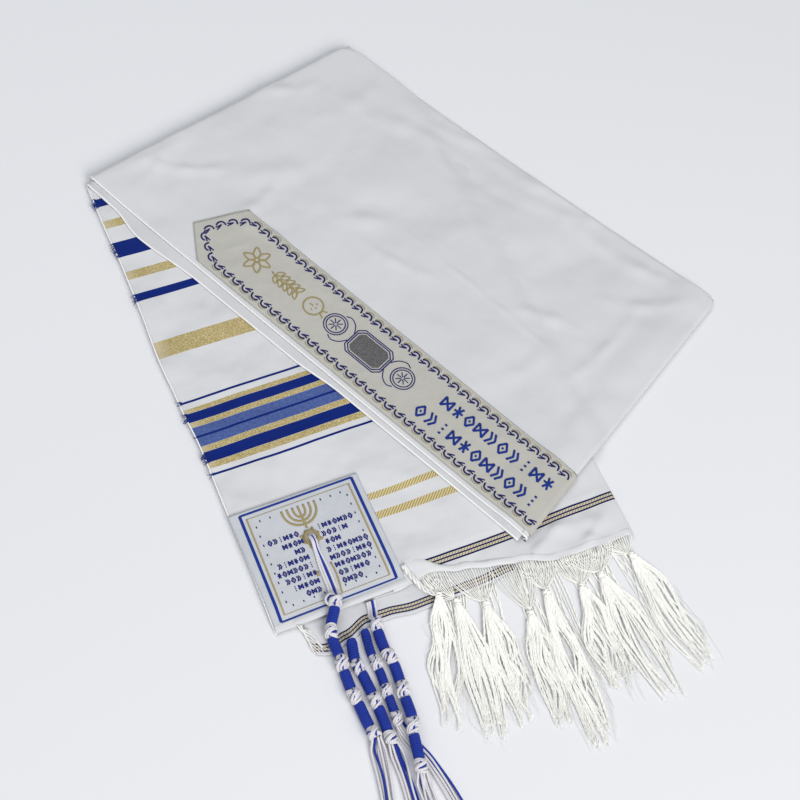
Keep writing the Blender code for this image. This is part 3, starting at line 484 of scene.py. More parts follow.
def panel_plan(across, along):
    """Plan point at a distance across from the first selvedge, and a share of the way to the middle."""
    near = mix(SKEW_SELVEDGE, MIDDLE_SELVEDGE, along)
    way = mix(SKEW_CREASE, MIDDLE_CREASE, along) - near
    share = across / way.length
    bow = CREASE_BOW * sin(pi * along) * max(share, 0.0) ** 2
    return near + way * share - CREASE_OUT * bow


def panel_share(across, row, start_inset=SKEW_REACH, end_inset=MIDDLE_REACH):
    """Share of the way along, for a row counted between the two folds' feet."""
    side = across / panel_width(row)
    length = mix((MIDDLE_SELVEDGE - SKEW_SELVEDGE).length, (MIDDLE_CREASE - SKEW_CREASE).length, side)
    return mix(start_inset / length, 1 - end_inset / length, row)


def striped_limit(x):
    """Where the striped end goes out of sight, under the folded-back half."""
    if x < MIDDLE_SELVEDGE.x:
        under_edge = line_y(MIDDLE_SELVEDGE, SKEW_SELVEDGE, x) - UNDER_SELVEDGE
    else:
        under_edge = line_y(MIDDLE_SELVEDGE, MIDDLE_CREASE, x) + UNDER_MIDDLE
    return min(under_edge, line_y(SKEW_SELVEDGE, SKEW_CREASE, x) - SHORT_OF_SKEW)


# ---------------------------------------------------------------- mesh work

def laid_grid(columns, rows, place):
    """A grid of quads with its vertex (i, j) at place(columns[i], rows[j]), and its three folded rims."""
    bm = bmesh.new()
    bmesh.ops.create_grid(bm, x_segments=len(columns) - 1, y_segments=len(rows) - 1, size=0.5)
    rims = {
        "right": [e for e in bm.edges if all(v.co.x > 0.4999 for v in e.verts)],
        "start": [e for e in bm.edges if all(v.co.y < -0.4999 for v in e.verts)],
        "end": [e for e in bm.edges if all(v.co.y > 0.4999 for v in e.verts)],
    }
    for vert in bm.verts:
        i = round((vert.co.x + 0.5) * (len(columns) - 1))
        j = round((vert.co.y + 0.5) * (len(rows) - 1))
        vert.co = place(columns[i], rows[j])
    bm.normal_update()
    if sum(face.calc_area() * face.normal.z for face in bm.faces) < 0:
        bmesh.ops.reverse_faces(bm, faces=bm.faces[:])
    return bm, rims


# The angles of a fold's rings, from the top down
SHEET_ANGLES = (78, 66, 53, 40, 26, 12, -1, -14, -26, -38)
LOOP_ANGLES = (75, 60, 42, 25, 8, -10, -28, -45, -60, -75)


def add_skirt(bm, rims):
    """Extrudes rims ring by ring. rims maps a rim's edges to a function giving, for a vertex place,
    its outward direction and its list of (out, height) steps; a corner takes the mean of its two."""
    number = bm.verts.layers.int.new("rim")
    feet = []
    by_vert = {}
    for edges, profile in rims:
        for vert in {v for edge in edges for v in edge.verts}:
            by_vert.setdefault(vert, []).append(profile(vert.co.copy()))
    for vert, sides in by_vert.items():
        vert[number] = len(feet)
        feet.append((vert.co.copy(), sides))
    edges = [edge for rim, _ in rims for edge in rim]
    for ring in range(len(SHEET_ANGLES)):
        grown = bmesh.ops.extrude_edge_only(bm, edges=edges)["geom"]
        for vert in (g for g in grown if isinstance(g, bmesh.types.BMVert)):
            foot, sides = feet[vert[number]]
            share = 1.0 if len(sides) == 1 else 0.8
            place = foot.xy
            for direction, steps in sides:
                place = place + direction * steps[ring][0] * share
            vert.co = at_height(place, sum(steps[ring][1] for _, steps in sides) / len(sides))
        edges = [g for g in grown if isinstance(g, bmesh.types.BMEdge)]


def sheet_fold(direction, reach, floor=None, low=0.0, angles=SHEET_ANGLES):
    """Steps of a sheet's outer face round a fold, down to just above what it rests on: a floor's height
    there, or low."""
    def profile(place):
        rests = floor(place) if floor else low
        half = (place.z - rests) / 2
        return direction, [
            (reach * cos(radians(angle)), rests + half * (1 + sin(radians(angle)))) for angle in angles]
    return profile


def finish_piece(bm, name, material, nodes=(), wall=0.0):
    """Makes a bmesh a piece of the shawl: in the row frame, riding on its body, with its materials."""
    bmesh.ops.translate(bm, verts=bm.verts, vec=-PLAN_CENTRE)
    mesh = bpy.data.meshes.new(name)
    bm.to_mesh(mesh)
    bm.free()
    for each in material if isinstance(material, list) else [material]:
        mesh.materials.append(each)
    mesh.shade_smooth()
    piece = bpy.data.objects.new(name, mesh)
    bpy.context.scene.collection.objects.link(piece)
    if wall:
        thick = piece.modifiers.new("wall", "SOLIDIFY")
        thick.thickness = wall
        thick.offset = -1.0
        thick.use_even_offset = True
    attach(piece, "root")
    if nodes:
        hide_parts(*nodes)


def new_sink():
    """An empty bmesh that strands are added to."""
    bm = bmesh.new()
    bm.verts.layers.float_vector.new("twist")
    return bm


def neighbours(route, number):
    """The places before and after one of a route."""
    return route[max(number - 1, 0)], route[min(number + 1, len(route) - 1)]


def add_strand(sink, route, half, sides=5, flat=1.0, taper=1.0, material=0, lay=Vector((0, 0, 1))):
    """Adds one closed strand to a bmesh: a ring of sides extruded along a route of places. Its twist
    attribute holds the ring angle's cosine and sine and the length so far."""
    bm = new_sink()
    twist = bm.verts.layers.float_vector["twist"]
    bmesh.ops.create_circle(bm, cap_ends=True, segments=sides, radius=1.0)
    for vert in bm.verts:
        vert[twist] = (vert.co.x, vert.co.y, 0.0)
    edges, ring, rise, length = bm.edges[:], bm.verts[:], lay, 0.0
    for number, place in enumerate(route):
        before, after = neighbours(route, number)
        heading = (after - before).normalized()
        rise = (rise - heading * rise.dot(heading)).normalized()
        side = heading.cross(rise)
        if number:
            grown = bmesh.ops.extrude_edge_only(bm, edges=edges)["geom"]
            ring = [g for g in grown if isinstance(g, bmesh.types.BMVert)]
            edges = [g for g in grown if isinstance(g, bmesh.types.BMEdge)]
            length += (place - before).length
        width = half * mix(1.0, taper, (number / (len(route) - 1)) ** 2)
        for vert in ring:
            cosine, sine, _ = vert[twist]
            vert.co = place + side * cosine * width + rise * sine * width * flat
            vert[twist] = (cosine, sine, length)
    bmesh.ops.contextual_create(bm, geom=edges)
    bmesh.ops.recalc_face_normals(bm, faces=bm.faces[:])
    for face in bm.faces:
        face.material_index = material
    part = bpy.data.meshes.new("strand")
    bm.to_mesh(part)
    bm.free()
    sink.from_mesh(part)
    bpy.data.meshes.remove(part)


def smooth_route(points, count):
    """count + 1 places read from the smooth curve through points."""
    return [curve_through(points, share) for share in even(count)]


# ---------------------------------------------------------------- materials

class Nodes:
    """A node tree in short: each call adds a node, whose inputs are sockets or values."""

    def __init__(self, tree):
        self.tree = tree

    def feed(self, socket, value):
        if isinstance(value, bpy.types.NodeSocket):
            self.tree.links.new(value, socket)
        else:
            socket.default_value = (*value, 1.0) if socket.type == "RGBA" else value

    def add(self, kind, inputs=(), **settings):
        node = self.tree.nodes.new("ShaderNode" + kind)
        for name, value in settings.items():
            setattr(node, name, value)
        for name, value in dict(inputs).items():
            self.feed(node.inputs[name], value)
        return node

    def maths(self, operation, *operands, clamp=False):
        return self.add("Math", enumerate(operands), operation=operation, use_clamp=clamp).outputs[0]

    def times(self, first, second):
        return self.maths("MULTIPLY", first, second)

    def mixed(self, share, low, high):
        # The colour sockets share their names with the number and vector ones, so they are found by number
        return self.add("Mix", {0: share, 6: low, 7: high}, data_type="RGBA").outputs[2]

    def noise(self, vector, scale, detail=2.0, roughness=0.5):
        inputs = {"Vector": vector, "Scale": scale, "Detail": detail, "Roughness": roughness}
        return self.add("TexNoise", inputs).outputs["Fac"]

    def split(self, vector):
        return self.add("SeparateXYZ", {0: vector}).outputs

    def bump(self, height, strength, distance, below=None):
        inputs = {"Height": height, "Strength": strength, "Distance": distance}
        if below is not None:
            inputs["Normal"] = below
        return self.add("Bump", inputs).outputs[0]

    def grouped(self, name, *inputs):
        """A shared effect's outputs; its node group is made at its first use."""
        if name not in bpy.data.node_groups:
            fill, given, results = EFFECTS[name]
            tree = bpy.data.node_groups.new(name, "ShaderNodeTree")
            for socket, kind in given.items():
                tree.interface.new_socket(socket, in_out="INPUT", socket_type=kind)
            for socket in results:
                tree.interface.new_socket(socket, in_out="OUTPUT", socket_type="NodeSocketFloat")
            start, end = tree.nodes.new("NodeGroupInput"), tree.nodes.new("NodeGroupOutput")
            sockets = [start.outputs[socket] for socket in given]
            for socket, value in zip(results, fill(Nodes(tree), *sockets)):
                tree.links.new(value, end.inputs[socket])
        return self.add("Group", enumerate(inputs), node_tree=bpy.data.node_groups[name]).outputs


def plain_weave(nodes, vector, threads):
    """A height with rounded crossings, and slubs along the weft."""
    place = nodes.split(vector)
    turns = nodes.times(threads, pi)
    warp, weft = (nodes.maths("SINE", nodes.times(place[axis], turns)) for axis in "XY")
    stretched = nodes.add("Mapping", {"Vector": vector, "Scale": (0.04, 1.0, 1.0)}).outputs[0]
    return nodes.maths("ABSOLUTE", nodes.times(warp, weft)), nodes.noise(stretched, 1400.0, 3.0)


def twill_floats(nodes, vector, lines, slant):
    """Bright floats along a slanting line, with a finer thread count across them."""
    place = nodes.split(vector)
    slanted = nodes.maths("MULTIPLY_ADD", place["Y"], slant, place["X"])
    wave = nodes.maths("SINE", nodes.times(slanted, nodes.times(lines, 2 * pi)))
    rough = nodes.maths("SUBTRACT", nodes.noise(vector, 1500.0), 0.5)
    return [nodes.maths("MULTIPLY_ADD", nodes.maths("MULTIPLY_ADD", rough, 1.4, wave), 0.5, 0.5)]


def plied_yarn(nodes, twist, turns):
    """Ridges that wind round a strand, from its twist attribute."""
    ring = nodes.split(twist)
    phase = nodes.times(ring["Z"], nodes.times(turns, 2 * pi))
    first = nodes.times(ring["X"], nodes.maths("COSINE", phase))
    second = nodes.times(ring["Y"], nodes.maths("SINE", phase))
    return [nodes.maths("ABSOLUTE", nodes.maths("ADD", first, second))]


# Each effect that several materials share: what makes it, its inputs and its results
NUMBER, PLACE = "NodeSocketFloat", "NodeSocketVector"
EFFECTS = {
    "plain weave": (plain_weave, {"Vector": PLACE, "Threads per metre": NUMBER}, ("Height", "Slub")),
    "twill floats": (twill_floats, {"Vector": PLACE, "Lines per metre": NUMBER, "Slant": NUMBER}, ("Mask",)),
    "plied yarn": (plied_yarn, {"Twist": PLACE, "Turns per metre": NUMBER}, ("Ridge",)),
}


def scaled(colour, share, most=1.0):
    return tuple(min(channel * share, most) for channel in colour)


def new_material(name, roughness, gloss, sheen):
    """A material with its nodes in short, and its shader's inputs."""
    material = bpy.data.materials.new(name)
    material.use_nodes = True
    shader = material.node_tree.nodes["Principled BSDF"].inputs
    shader["Roughness"].default_value = roughness
    shader["Specular IOR Level"].default_value = gloss
    shader["Sheen Weight"].default_value = sheen
    return material, Nodes(material.node_tree), shader


def cloth_base(name, roughness, gloss, sheen, heading=0.0, attribute=None):
    """A cloth material, and the cloth's coordinates turned to its threads. Where an attribute is named,
    it holds the cloth's own coordinates."""
    material, nodes, shader = new_material(name, roughness, gloss, sheen)
    if attribute:
        cloth = nodes.add("Attribute", attribute_name=attribute).outputs["Vector"]
    else:
        plan = nodes.add("TexCoord").outputs["Object"]
        turn = {"Vector": plan, "Location": PLAN_CENTRE, "Rotation": (0.0, 0.0, radians(heading))}
        cloth = nodes.add("Mapping", turn).outputs[0]
    return material, nodes, shader, cloth


def white_cloth(name, heading=0.0, bright=1.0):
    """The shawl's plain white weave: faint slubs along the weft, and slow patches of painted shade that stand
    in for soft wrinkles.
    """
    material, nodes, shader, cloth = cloth_base(name, 0.55, 0.15, 0.08, heading)
    # bright scales the white: above 1 it is a painted highlight, below 1 painted shade
    colour = scaled(WHITE, bright)
    weave = nodes.grouped("plain weave", cloth, CLOTH_THREADS)
    # Slow noise darkens the white in patches: painted shade of soft wrinkles
    tone = nodes.mixed(nodes.noise(cloth, 9.0, 3.0), scaled(colour, 0.87), colour)
    tone = nodes.mixed(nodes.times(weave["Slub"], 0.35), tone, scaled(colour, 1.08, 0.92))
    nodes.feed(shader["Base Color"], tone)
    height = nodes.maths("MULTIPLY_ADD", weave["Slub"], 0.6, weave["Height"])
    soft = nodes.bump(nodes.noise(cloth, 13.0, 2.5, 0.45), 0.8, 0.013)
    nodes.feed(shader["Normal"], nodes.bump(height, 0.25, 0.00008, soft))
    return material


def band_mask(nodes, y, low, high, soft=0.00012):
    """1 between two heights of the cloth, with edges a thread wide."""
    rise = nodes.times(nodes.maths("SUBTRACT", y, low), 1 / soft)
    fall = nodes.times(nodes.maths("SUBTRACT", high, y), 1 / soft)
    return nodes.maths("MINIMUM", rise, fall, clamp=True)


def striped_cloth(name, stripes, attribute=None):
    """White weave crossed by woven stripes, each in its yarn's own structure."""
    material, nodes, shader, cloth = cloth_base(name, 0.52, 0.10, 0.03, attribute=attribute)
    weave = nodes.grouped("plain weave", cloth, CLOTH_THREADS)
    gold = nodes.grouped("twill floats", cloth, 900.0, 0.9)["Mask"]
    twill = nodes.grouped("twill floats", cloth, 400.0, -1.0)["Mask"]
    place = nodes.split(cloth)
    y = place["Y"]
    for swing, most in ((nodes.noise(cloth, 40.0), 0.0007), (nodes.noise(cloth, 9.0, 1.0), 0.0045)):
        y = nodes.maths("MULTIPLY_ADD", nodes.maths("SUBTRACT", swing, 0.5), most, y)
    # Slow noise makes the white lighter and darker in patches: painted light and shade of soft creases
    colour = nodes.mixed(nodes.noise(cloth, 9.0, 3.0), scaled(WHITE, 0.94), scaled(WHITE, 1.05, 0.9))
    # Metal thread: painted glints, bright flecks of lighter colour in the gold stripes, which pale towards
    # the selvedge
    painted_glints = nodes.times(nodes.maths("GREATER_THAN", nodes.noise(cloth, 1500.0, 1.0), 0.56), 0.7)
    worn = nodes.add("MapRange", {"Value": place["X"], "From Min": -0.002, "From Max": 0.010}).outputs[0]
    gold_tone = nodes.mixed(gold, (0.250, 0.190, 0.055), (0.500, 0.410, 0.190))
    gold_tone = nodes.mixed(painted_glints, gold_tone, (0.720, 0.630, 0.400))
    mottled = nodes.noise(cloth, 480.0, 3.0, 0.7)
    yarns = {
        "royal": nodes.mixed(weave["Slub"], (0.001, 0.009, 0.120), (0.002, 0.022, 0.200)),
        "navy": nodes.mixed(weave["Slub"], (0.004, 0.005, 0.042), (0.009, 0.012, 0.090)),
        "denim": nodes.mixed(mottled, (0.004, 0.030, 0.160), (0.130, 0.185, 0.430)),
        "gold": nodes.mixed(worn, (0.560, 0.490, 0.340), gold_tone),
        "twill": nodes.mixed(twill, (0.300, 0.225, 0.085), (0.700, 0.605, 0.330)),
        "cream": nodes.mixed(twill, (0.270, 0.220, 0.120), (0.680, 0.610, 0.440)),
    }
    lift = 0.0
    for low, high, kind in stripes:
        mask = band_mask(nodes, y, low, high)
        colour = nodes.mixed(mask, colour, yarns[kind])
        lift = nodes.maths("MAXIMUM", lift, mask)
    nodes.feed(shader["Base Color"], colour)
    height = nodes.maths("MULTIPLY_ADD", lift, 0.8, weave["Height"])
    height = nodes.maths("MULTIPLY_ADD", gold, nodes.times(lift, 0.5), height)
    soft = nodes.bump(nodes.noise(cloth, 17.0, 2.5, 0.45), 0.9, 0.015)
    nodes.feed(shader["Normal"], nodes.bump(height, 0.35, 0.00010, soft))
    return material


def canvas(name, colour, light, heading=0.0):
    """The neckband's and the patch's ribbed ground."""
    material, nodes, shader, cloth = cloth_base(name, 0.6, 0.12, 0.05, heading)
    weave = nodes.grouped("plain weave", cloth, 1100.0)["Height"]
    diagonal = nodes.grouped("twill floats", cloth, 620.0, 0.35)["Mask"]
    # Painted shade between the threads: the ground is darker where the weave dips and lighter at its
    # crossings
    tone = nodes.mixed(weave, scaled(colour, 0.86), light)
    tone = nodes.mixed(nodes.times(diagonal, 0.35), tone, scaled(colour, 0.8))
    tone = nodes.mixed(nodes.times(nodes.noise(cloth, 14.0, 3.0), 0.4), tone, light)
    nodes.feed(shader["Base Color"], tone)
    soft = nodes.bump(nodes.noise(cloth, 26.0, 3.0), 0.7, 0.006)
    nodes.feed(shader["Normal"], nodes.bump(weave, 0.6, 0.00018, soft))
    return material


def yarn(name, colour, turns=420.0, groove_shade=0.72, depth=0.6):
    """Twisted thread: painted shade between its plies, where its colour is darker."""
    material, nodes, shader = new_material(name, 0.6, 0.12, 0.05)
    twist = nodes.add("Attribute", attribute_name="twist").outputs["Vector"]
    ridge = nodes.grouped("plied yarn", twist, turns)["Ridge"]
    # Painted shade: in the grooves between plies the colour falls to groove_shade of itself
    nodes.feed(shader["Base Color"], nodes.mixed(ridge, scaled(colour, groove_shade), colour))
    nodes.feed(shader["Normal"], nodes.bump(ridge, depth, 0.0002))
    return material


# ---------------------------------------------------------------- cloth pieces

def rounded_corner(plan):
    """The plan point drawn in to an arc where it lies in one of the two corners at the crease."""
    corners = ((SKEW_CREASE, SKEW_OUT, SKEW_ROUND), (MIDDLE_CREASE, MIDDLE_OUT, MIDDLE_ROUND))
    for corner, way, radius in corners:
        back = radius - (corner - plan).dot(way) + SKEW_REACH
        aside = radius - (corner - plan).dot(CREASE_OUT) + CREASE_REACH
        if back > 0 and aside > 0:
            shrink = 1 - max(back, aside) / hypot(back, aside)
            plan = plan - way * back * shrink - CREASE_OUT * aside * shrink
    return plan


def body_cloth(columns):
    """The folded-back half's outer layer, rounded over three folds."""
    def place(column, row):
        across = column * (panel_width(row) - CREASE_REACH)
        plan = rounded_corner(panel_plan(across, panel_share(across, row)))
        return at_height(plan, panel_surface(plan))

    bm, rims = laid_grid(even(columns), even(int(columns * 1.3)), place)
    add_skirt(bm, [
        (rims["start"], sheet_fold(SKEW_OUT, SKEW_REACH)),
        (rims["right"], sheet_fold(CREASE_OUT, CREASE_REACH)),
        (rims["end"], sheet_fold(MIDDLE_OUT, MIDDLE_REACH, fold_floor)),
    ])
    material = white_cloth("white cloth, folded back", PANEL_HEADING)
    finish_piece(bm, "body_cloth", material, ["body_panel"], WALL)


def second_layer():
    """The second layer's selvedge, which shows along the first and loops down at the skewed fold."""
    def place(column, row):
        out = -along_table(SECOND_SHOWS, row)
        across = mix(out, SECOND_INNER, column)
        plan = panel_plan(across, panel_share(max(across, 0.0), row, *SECOND_ENDS))
        low = STRIPED_TOP + LAYER + 0.0001
        droop = smooth((across - out) / (SECOND_LEVEL_FROM - out)) if across < SECOND_LEVEL_FROM else 1.0
        return at_height(plan, mix(low, panel_top(plan) - LAYER, droop))

    bm, rims = laid_grid((0.0, 0.06, 0.14, 0.25, 0.4, 0.6, 0.8, 1.0), even(140), place)
    loop = [edge for edge in rims["start"]
            if all(SELVEDGE_OUT.dot(v.co.xy - SKEW_SELVEDGE) > 0 for v in edge.verts)]
    add_skirt(bm, [(loop, sheet_fold(SKEW_OUT, SECOND_LOOP, low=FOLD_LOW, angles=LOOP_ANGLES))])
    # A darker copy of the white cloth: painted shade, as the second layer lies in shade under the first one's
    # edge
    material = white_cloth("white cloth, second layer in painted shade", PANEL_HEADING, 0.93)
    finish_piece(bm, "second_layer", material, ["second_layer_edge"], WALL)


def border_from(low_line, squeeze=1.0):
    """The hem border's stripes from the height of its lowest line."""
    return [(low_line + low * squeeze, low_line + high * squeeze, kind) for low, high, kind in BORDER]


def striped_end(columns):
    """The striped end's top layer, from its hem to where the folded-back half covers it."""
    rows = [(step / 24, 0.0) for step in range(24)] + [(1.0, share) for share in even(96)]

    def place(x, row):
        near, far = row
        hem, limit = hem_y(x), striped_limit(x)
        ledge = min(BLOCK_HEM + HEM_SLOPE, mix(hem, limit, 0.5))
        y = mix(hem, ledge, near) + (limit - ledge) * far
        x += along_table(SELVEDGE, y) * (1 - x / STRIP_EDGE) ** 3 * (1 - far ** 3)
        return Vector((x, y, striped_surface(x, y)))

    bm, rims = laid_grid([STRIP_EDGE * share for share in even(columns)], rows, place)
    add_skirt(bm, [(rims["right"], sheet_fold(Vector((1.0, 0.0)), CREASE_REACH))])
    material = striped_cloth("striped cloth", list(STRIPES) + border_from(BORDER_LOW))
    finish_piece(bm, "striped_cloth", material, ["striped_end"], WALL)


def second_end():
    """The second striped end, flat on the surface below the first one's hem. Its cloth attribute holds
    the distance up from its hem, which its border follows."""
    def place(x, row):
        y = mix(second_hem_y(x), along_table(SECOND_BACK, x), row)
        return Vector((x, y, WALL + 0.0004 * (1 + sin(90.0 * x)) * (1 - row)))

    bm, _ = laid_grid([mix(SECOND_END_LEFT, SECOND_END_RIGHT, share) for share in even(150)], even(24), place)
    cloth = bm.verts.layers.float_vector.new("cloth")
    for vert in bm.verts:
        vert[cloth] = (vert.co.x, vert.co.y - second_hem_y(vert.co.x), 0.0)
    border = border_from(SECOND_BORDER_LOW, SECOND_BORDER_SQUEEZE)
    material = striped_cloth("second striped cloth", border, "cloth")
    finish_piece(bm, "second_striped_cloth", material, ["second_striped_end"], WALL)


def inner_layers():
    """The folded layers that only their edges show, from the hidden layers' own solid."""
    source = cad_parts["hidden_layers"]
    bm = bmesh.new()
    bm.from_mesh(source.data)
    bmesh.ops.transform(bm, matrix=source.matrix_world, verts=bm.verts)
    bmesh.ops.remove_doubles(bm, verts=bm.verts, dist=0.00001)
    bmesh.ops.translate(bm, verts=bm.verts, vec=PLAN_CENTRE)
    finish_piece(bm, "inner_layers", white_cloth("white cloth, inner layers"), ["hidden_layers"])


def round_fold(foot, way, reach, low):
    """Places round a fold, from its foot up to just before a place on its top."""
    half = (foot.z - low) / 2
    return [at_height(foot.xy + way * reach * cos(radians(angle)), foot.z - half * (1 - sin(radians(angle))))
            for angle in (-70, -45, -20, 5, 30, 55, 75)]


def selvedges():
    """The cords of thread that run down each open edge and round the fold at its end, their white lifted
    above the cloth's by a painted highlight.
    """
    def first(share):
        plan = panel_plan(0.0, panel_share(0.0, share))
        return at_height(plan, panel_surface(plan) - 0.0003)

    def second(share):
        plan = panel_plan(-along_table(SECOND_SHOWS, share), panel_share(0.0, share, *SECOND_ENDS))
        return at_height(plan, STRIPED_TOP + LAYER - 0.0002)

    def strip(share):
        y = mix(hem_y(0.0), striped_limit(0.002), share)
        x = along_table(SELVEDGE, y) * (1 - share ** 3)
        return Vector((x, y, striped_surface(x, y) - 0.0004))

    bm = new_sink()
    upper = [first(share) for share in even(150)]
    lower = [second(share) for share in even(150)]
    turn_up = round_fold(upper[0], SKEW_OUT, SKEW_REACH, FOLD_LOW)
    turn_down = round_fold(upper[-1], MIDDLE_OUT, MIDDLE_REACH, STRIPED_TOP + GAP)[::-1]
    add_strand(bm, turn_up + upper + turn_down, SELVEDGE_HALF, sides=6)
    add_strand(bm, round_fold(lower[0], SKEW_OUT, SECOND_LOOP, 0.0014) + lower, SELVEDGE_HALF, sides=6)
    add_strand(bm, [strip(share) for share in even(120)], 0.00065, sides=6)
    # The thread's white is much brighter than the cloth's: a painted highlight on the edges that face the
    # light
    finish_piece(bm, "selvedge_threads", yarn("selvedge thread, painted highlight", (0.93, 0.93, 0.93), groove_shade=0.9))


def under_fold():
    """The lower layers' fold, which peeps out along the crease and round the middle fold's open end."""
    def crease(share):
        along = mix(0.05, 0.985, share)
        out = CREASE_OUT * (0.0002 + 0.0007 * sin(pi * along))
        return at_height(panel_plan(panel_width(along), along) + out, 0.0016)

    bm = new_sink()
    add_strand(bm, [crease(share) for share in even(60)], 0.0013, sides=10)
    for along, way, out, height, half in (
            (1.0, MIDDLE_OUT, -0.0040, 0.0083, 0.0026), (0.0, SKEW_OUT, -0.0030, 0.0088, 0.0019),
            (0.0, SKEW_OUT, -0.0045, 0.0040, 0.0026)):
        route = [at_height(panel_plan(across, along) + way * out, height)
                 for across in (0.0004, 0.0060, 0.0120, 0.0200)]
        add_strand(bm, route, half, sides=12)
    finish_piece(bm, "under_fold", white_cloth("white cloth, lower fold"))


def rolled_hem():
    """The narrow turned hem above the fringe, soft and low, which fades out towards the lengthwise
    fold and is turned up over the border beside the patch. Its edges dip into the cloth."""
    def place(column, row):
        x = mix(0.090, STRIP_EDGE, column)
        angle = radians(mix(205, -25, row))
        over = 0.0118 * smooth((0.1320 - x) / 0.0200) * smooth((x - 0.1012) / 0.0024)
        y = hem_y(x) + 0.0024 + 0.0028 * cos(angle) + 0.0003 * sin(210 * x) + over * row
        puff = 1.0 + 0.22 * sin(160 * x) + 0.12 * sin(390 * x + 1.0)
        high = mix(0.0013, 0.0006, smooth((x - 0.165) / 0.05))
        lift = high * puff * (sin(angle) + 0.30) - 0.0003
        return Vector((x, y, striped_surface(x, y) + lift))

    bm, _ = laid_grid(even(200), even(14), place)
    # A brighter copy of the white cloth: a painted highlight on the hem's rounded top
    material = white_cloth("white cloth, rolled hem, painted highlight", bright=1.10)
    finish_piece(bm, "rolled_hem", material, wall=0.0005)


def loose_threads():
    """White threads come loose at the second end's corner, and the hem's own end, twisted into the
    first fringe knot."""
    draw = random.Random(11).uniform
    bm = new_sink()
    for number in range(9):
        start = Vector((0.0150 + 0.0007 * number, 0.0005 - 0.0006 * number))
        end = Vector((0.0205 + 0.0012 * number + draw(-0.001, 0.001), -0.0235 + draw(-0.003, 0.003)))
        route = []
        for part in even(12):
            plan = mix(start, end, part) + Vector((0.0012 * sin(5 * part + number), 0.0))
            route.append(at_height(plan, support(plan.x, plan.y) + 0.0010 + 0.0002 * (number % 3)))
        add_strand(bm, route, draw(0.00035, 0.0007), taper=0.6)
    start, end = Vector((0.1045, 0.0150)), Vector(FRINGE[0][:2]) + Vector((-0.0004, 0.0010))
    twisted = []
    for part in even(30):
        plan = mix(start, end, part) + Vector((-0.0016, -0.0046)) * sin(pi * part)
        twisted.append(at_height(plan, support(plan.x, plan.y) + mix(0.0014, 0.0034, smooth(2 * part))))
    add_yarn(bm, twisted, 0.0021, 0.0140, 0.0, 0.4)
    finish_piece(bm, "loose_threads", yarn("loose white thread", (0.88, 0.88, 0.86), groove_shade=0.9))


def frayed_ends():
    """Short blue yarn ends that stand out of the selvedge at the blue stripes."""
    draw = random.Random(7).uniform
    bm = new_sink()
    for low, high, _ in (stripe for stripe in STRIPES if stripe[2] == "royal"):
        for _ in range(max(2, int((high - low) / 0.00065))):
            y = draw(low, high)
            x = along_table(SELVEDGE, y)
            reach = draw(0.0012, 0.0036)
            height = striped_surface(x, y)
            start = Vector((x + 0.0024, y, height + 0.0002))
            over = Vector((x - 0.0002, y + draw(-0.0008, 0.0006), height + 0.0006))
            end = Vector((x - reach, y + draw(-0.0022, 0.0014), height - reach * 0.5))
            add_strand(bm, smooth_route([start, over, end], 6), 0.00030, sides=4, taper=0.6)
    finish_piece(bm, "frayed_ends", yarn("frayed blue yarn", (0.010, 0.030, 0.240)))


# ---------------------------------------------------------------- stitches

def add_stroke(sink, points, surface, half, material=0, count=None, flat=0.35, taper=1.0):
    """Adds one raised stitch line along 2-D points that surface takes to places."""
    line = smooth_route(points, count or 3 * (len(points) - 1))
    route = [surface(point.x, point.y, STITCH_RISE) for point in line]
    add_strand(sink, route, half, 6, flat, taper, material)


def add_straights(sink, line, surface, half, count):
    """Adds a stitch line for each straight run of a line."""
    for ends in zip(line, line[1:]):
        add_stroke(sink, ends, surface, half, count=count)


def shifted(surface, along, across, size=1.0):
    """A surface read from a middle of its own, at a size of its own."""
    def moved(x, y, rise):
        return surface(along + x * size, across + y * size, rise)
    return moved


def ring_points(radius, count):
    return [(radius * cos(2 * pi * k / count), radius * sin(2 * pi * k / count)) for k in range(count + 1)]


def petal(length, width, heading, base=0.15):
    """A closed leaf outline from near the middle outwards."""
    way = turned(heading)
    shape = ((base, 0.0), (0.35, 0.5), (0.7, 0.42), (1.0, 0.0), (0.7, -0.42), (0.35, -0.5), (base, 0.0))
    return [way * length * along + left_of(way) * width * out for along, out in shape]


# Plain marks for the ornament rows, as lines in a unit square round their middle. They spell nothing
ORNAMENTS = {
    "lozenge": (((-0.42, 0), (0, 0.46), (0.42, 0), (0, -0.46), (-0.42, 0)), ((-0.08, 0), (0.08, 0))),
    "chevrons": (((-0.38, -0.44), (-0.06, 0), (-0.38, 0.44)), ((0.02, -0.44), (0.36, 0), (0.02, 0.44))),
    "dots": (((-0.10, -0.36), (0.10, -0.36)), ((-0.10, 0), (0.10, 0)), ((-0.10, 0.36), (0.10, 0.36))),
    "bow": (((-0.44, -0.38), (-0.44, 0.38), (0.44, -0.38), (0.44, 0.38), (-0.44, -0.38)),),
    "spark": (((-0.42, 0), (0.42, 0)), ((-0.22, -0.40), (0.22, 0.40)), ((-0.22, 0.40), (0.22, -0.40))),
}
ORNAMENT_ORDER = ("lozenge", "chevrons", "dots", "bow", "spark", "lozenge", "bow", "chevrons")


def ornament_row(bm, surface, start, end, size, half, first):
    """A row of marks, centred between start and end, that starts at one of the order's."""
    step = size * 0.90
    count = max(1, int((end - start) / step))
    margin = (end - start - count * step) / 2
    for number in range(count):
        x = start + margin + step * (number + 0.5)
        for line in ORNAMENTS[ORNAMENT_ORDER[(number + first) % len(ORNAMENT_ORDER)]]:
            line = [(x + across * size * 0.76, up * size) for across, up in line]
            add_straights(bm, line, surface, half, 2)


# ---------------------------------------------------------------- neckband

NECK_WAY = (SKEW_SELVEDGE - MIDDLE_SELVEDGE).normalized()


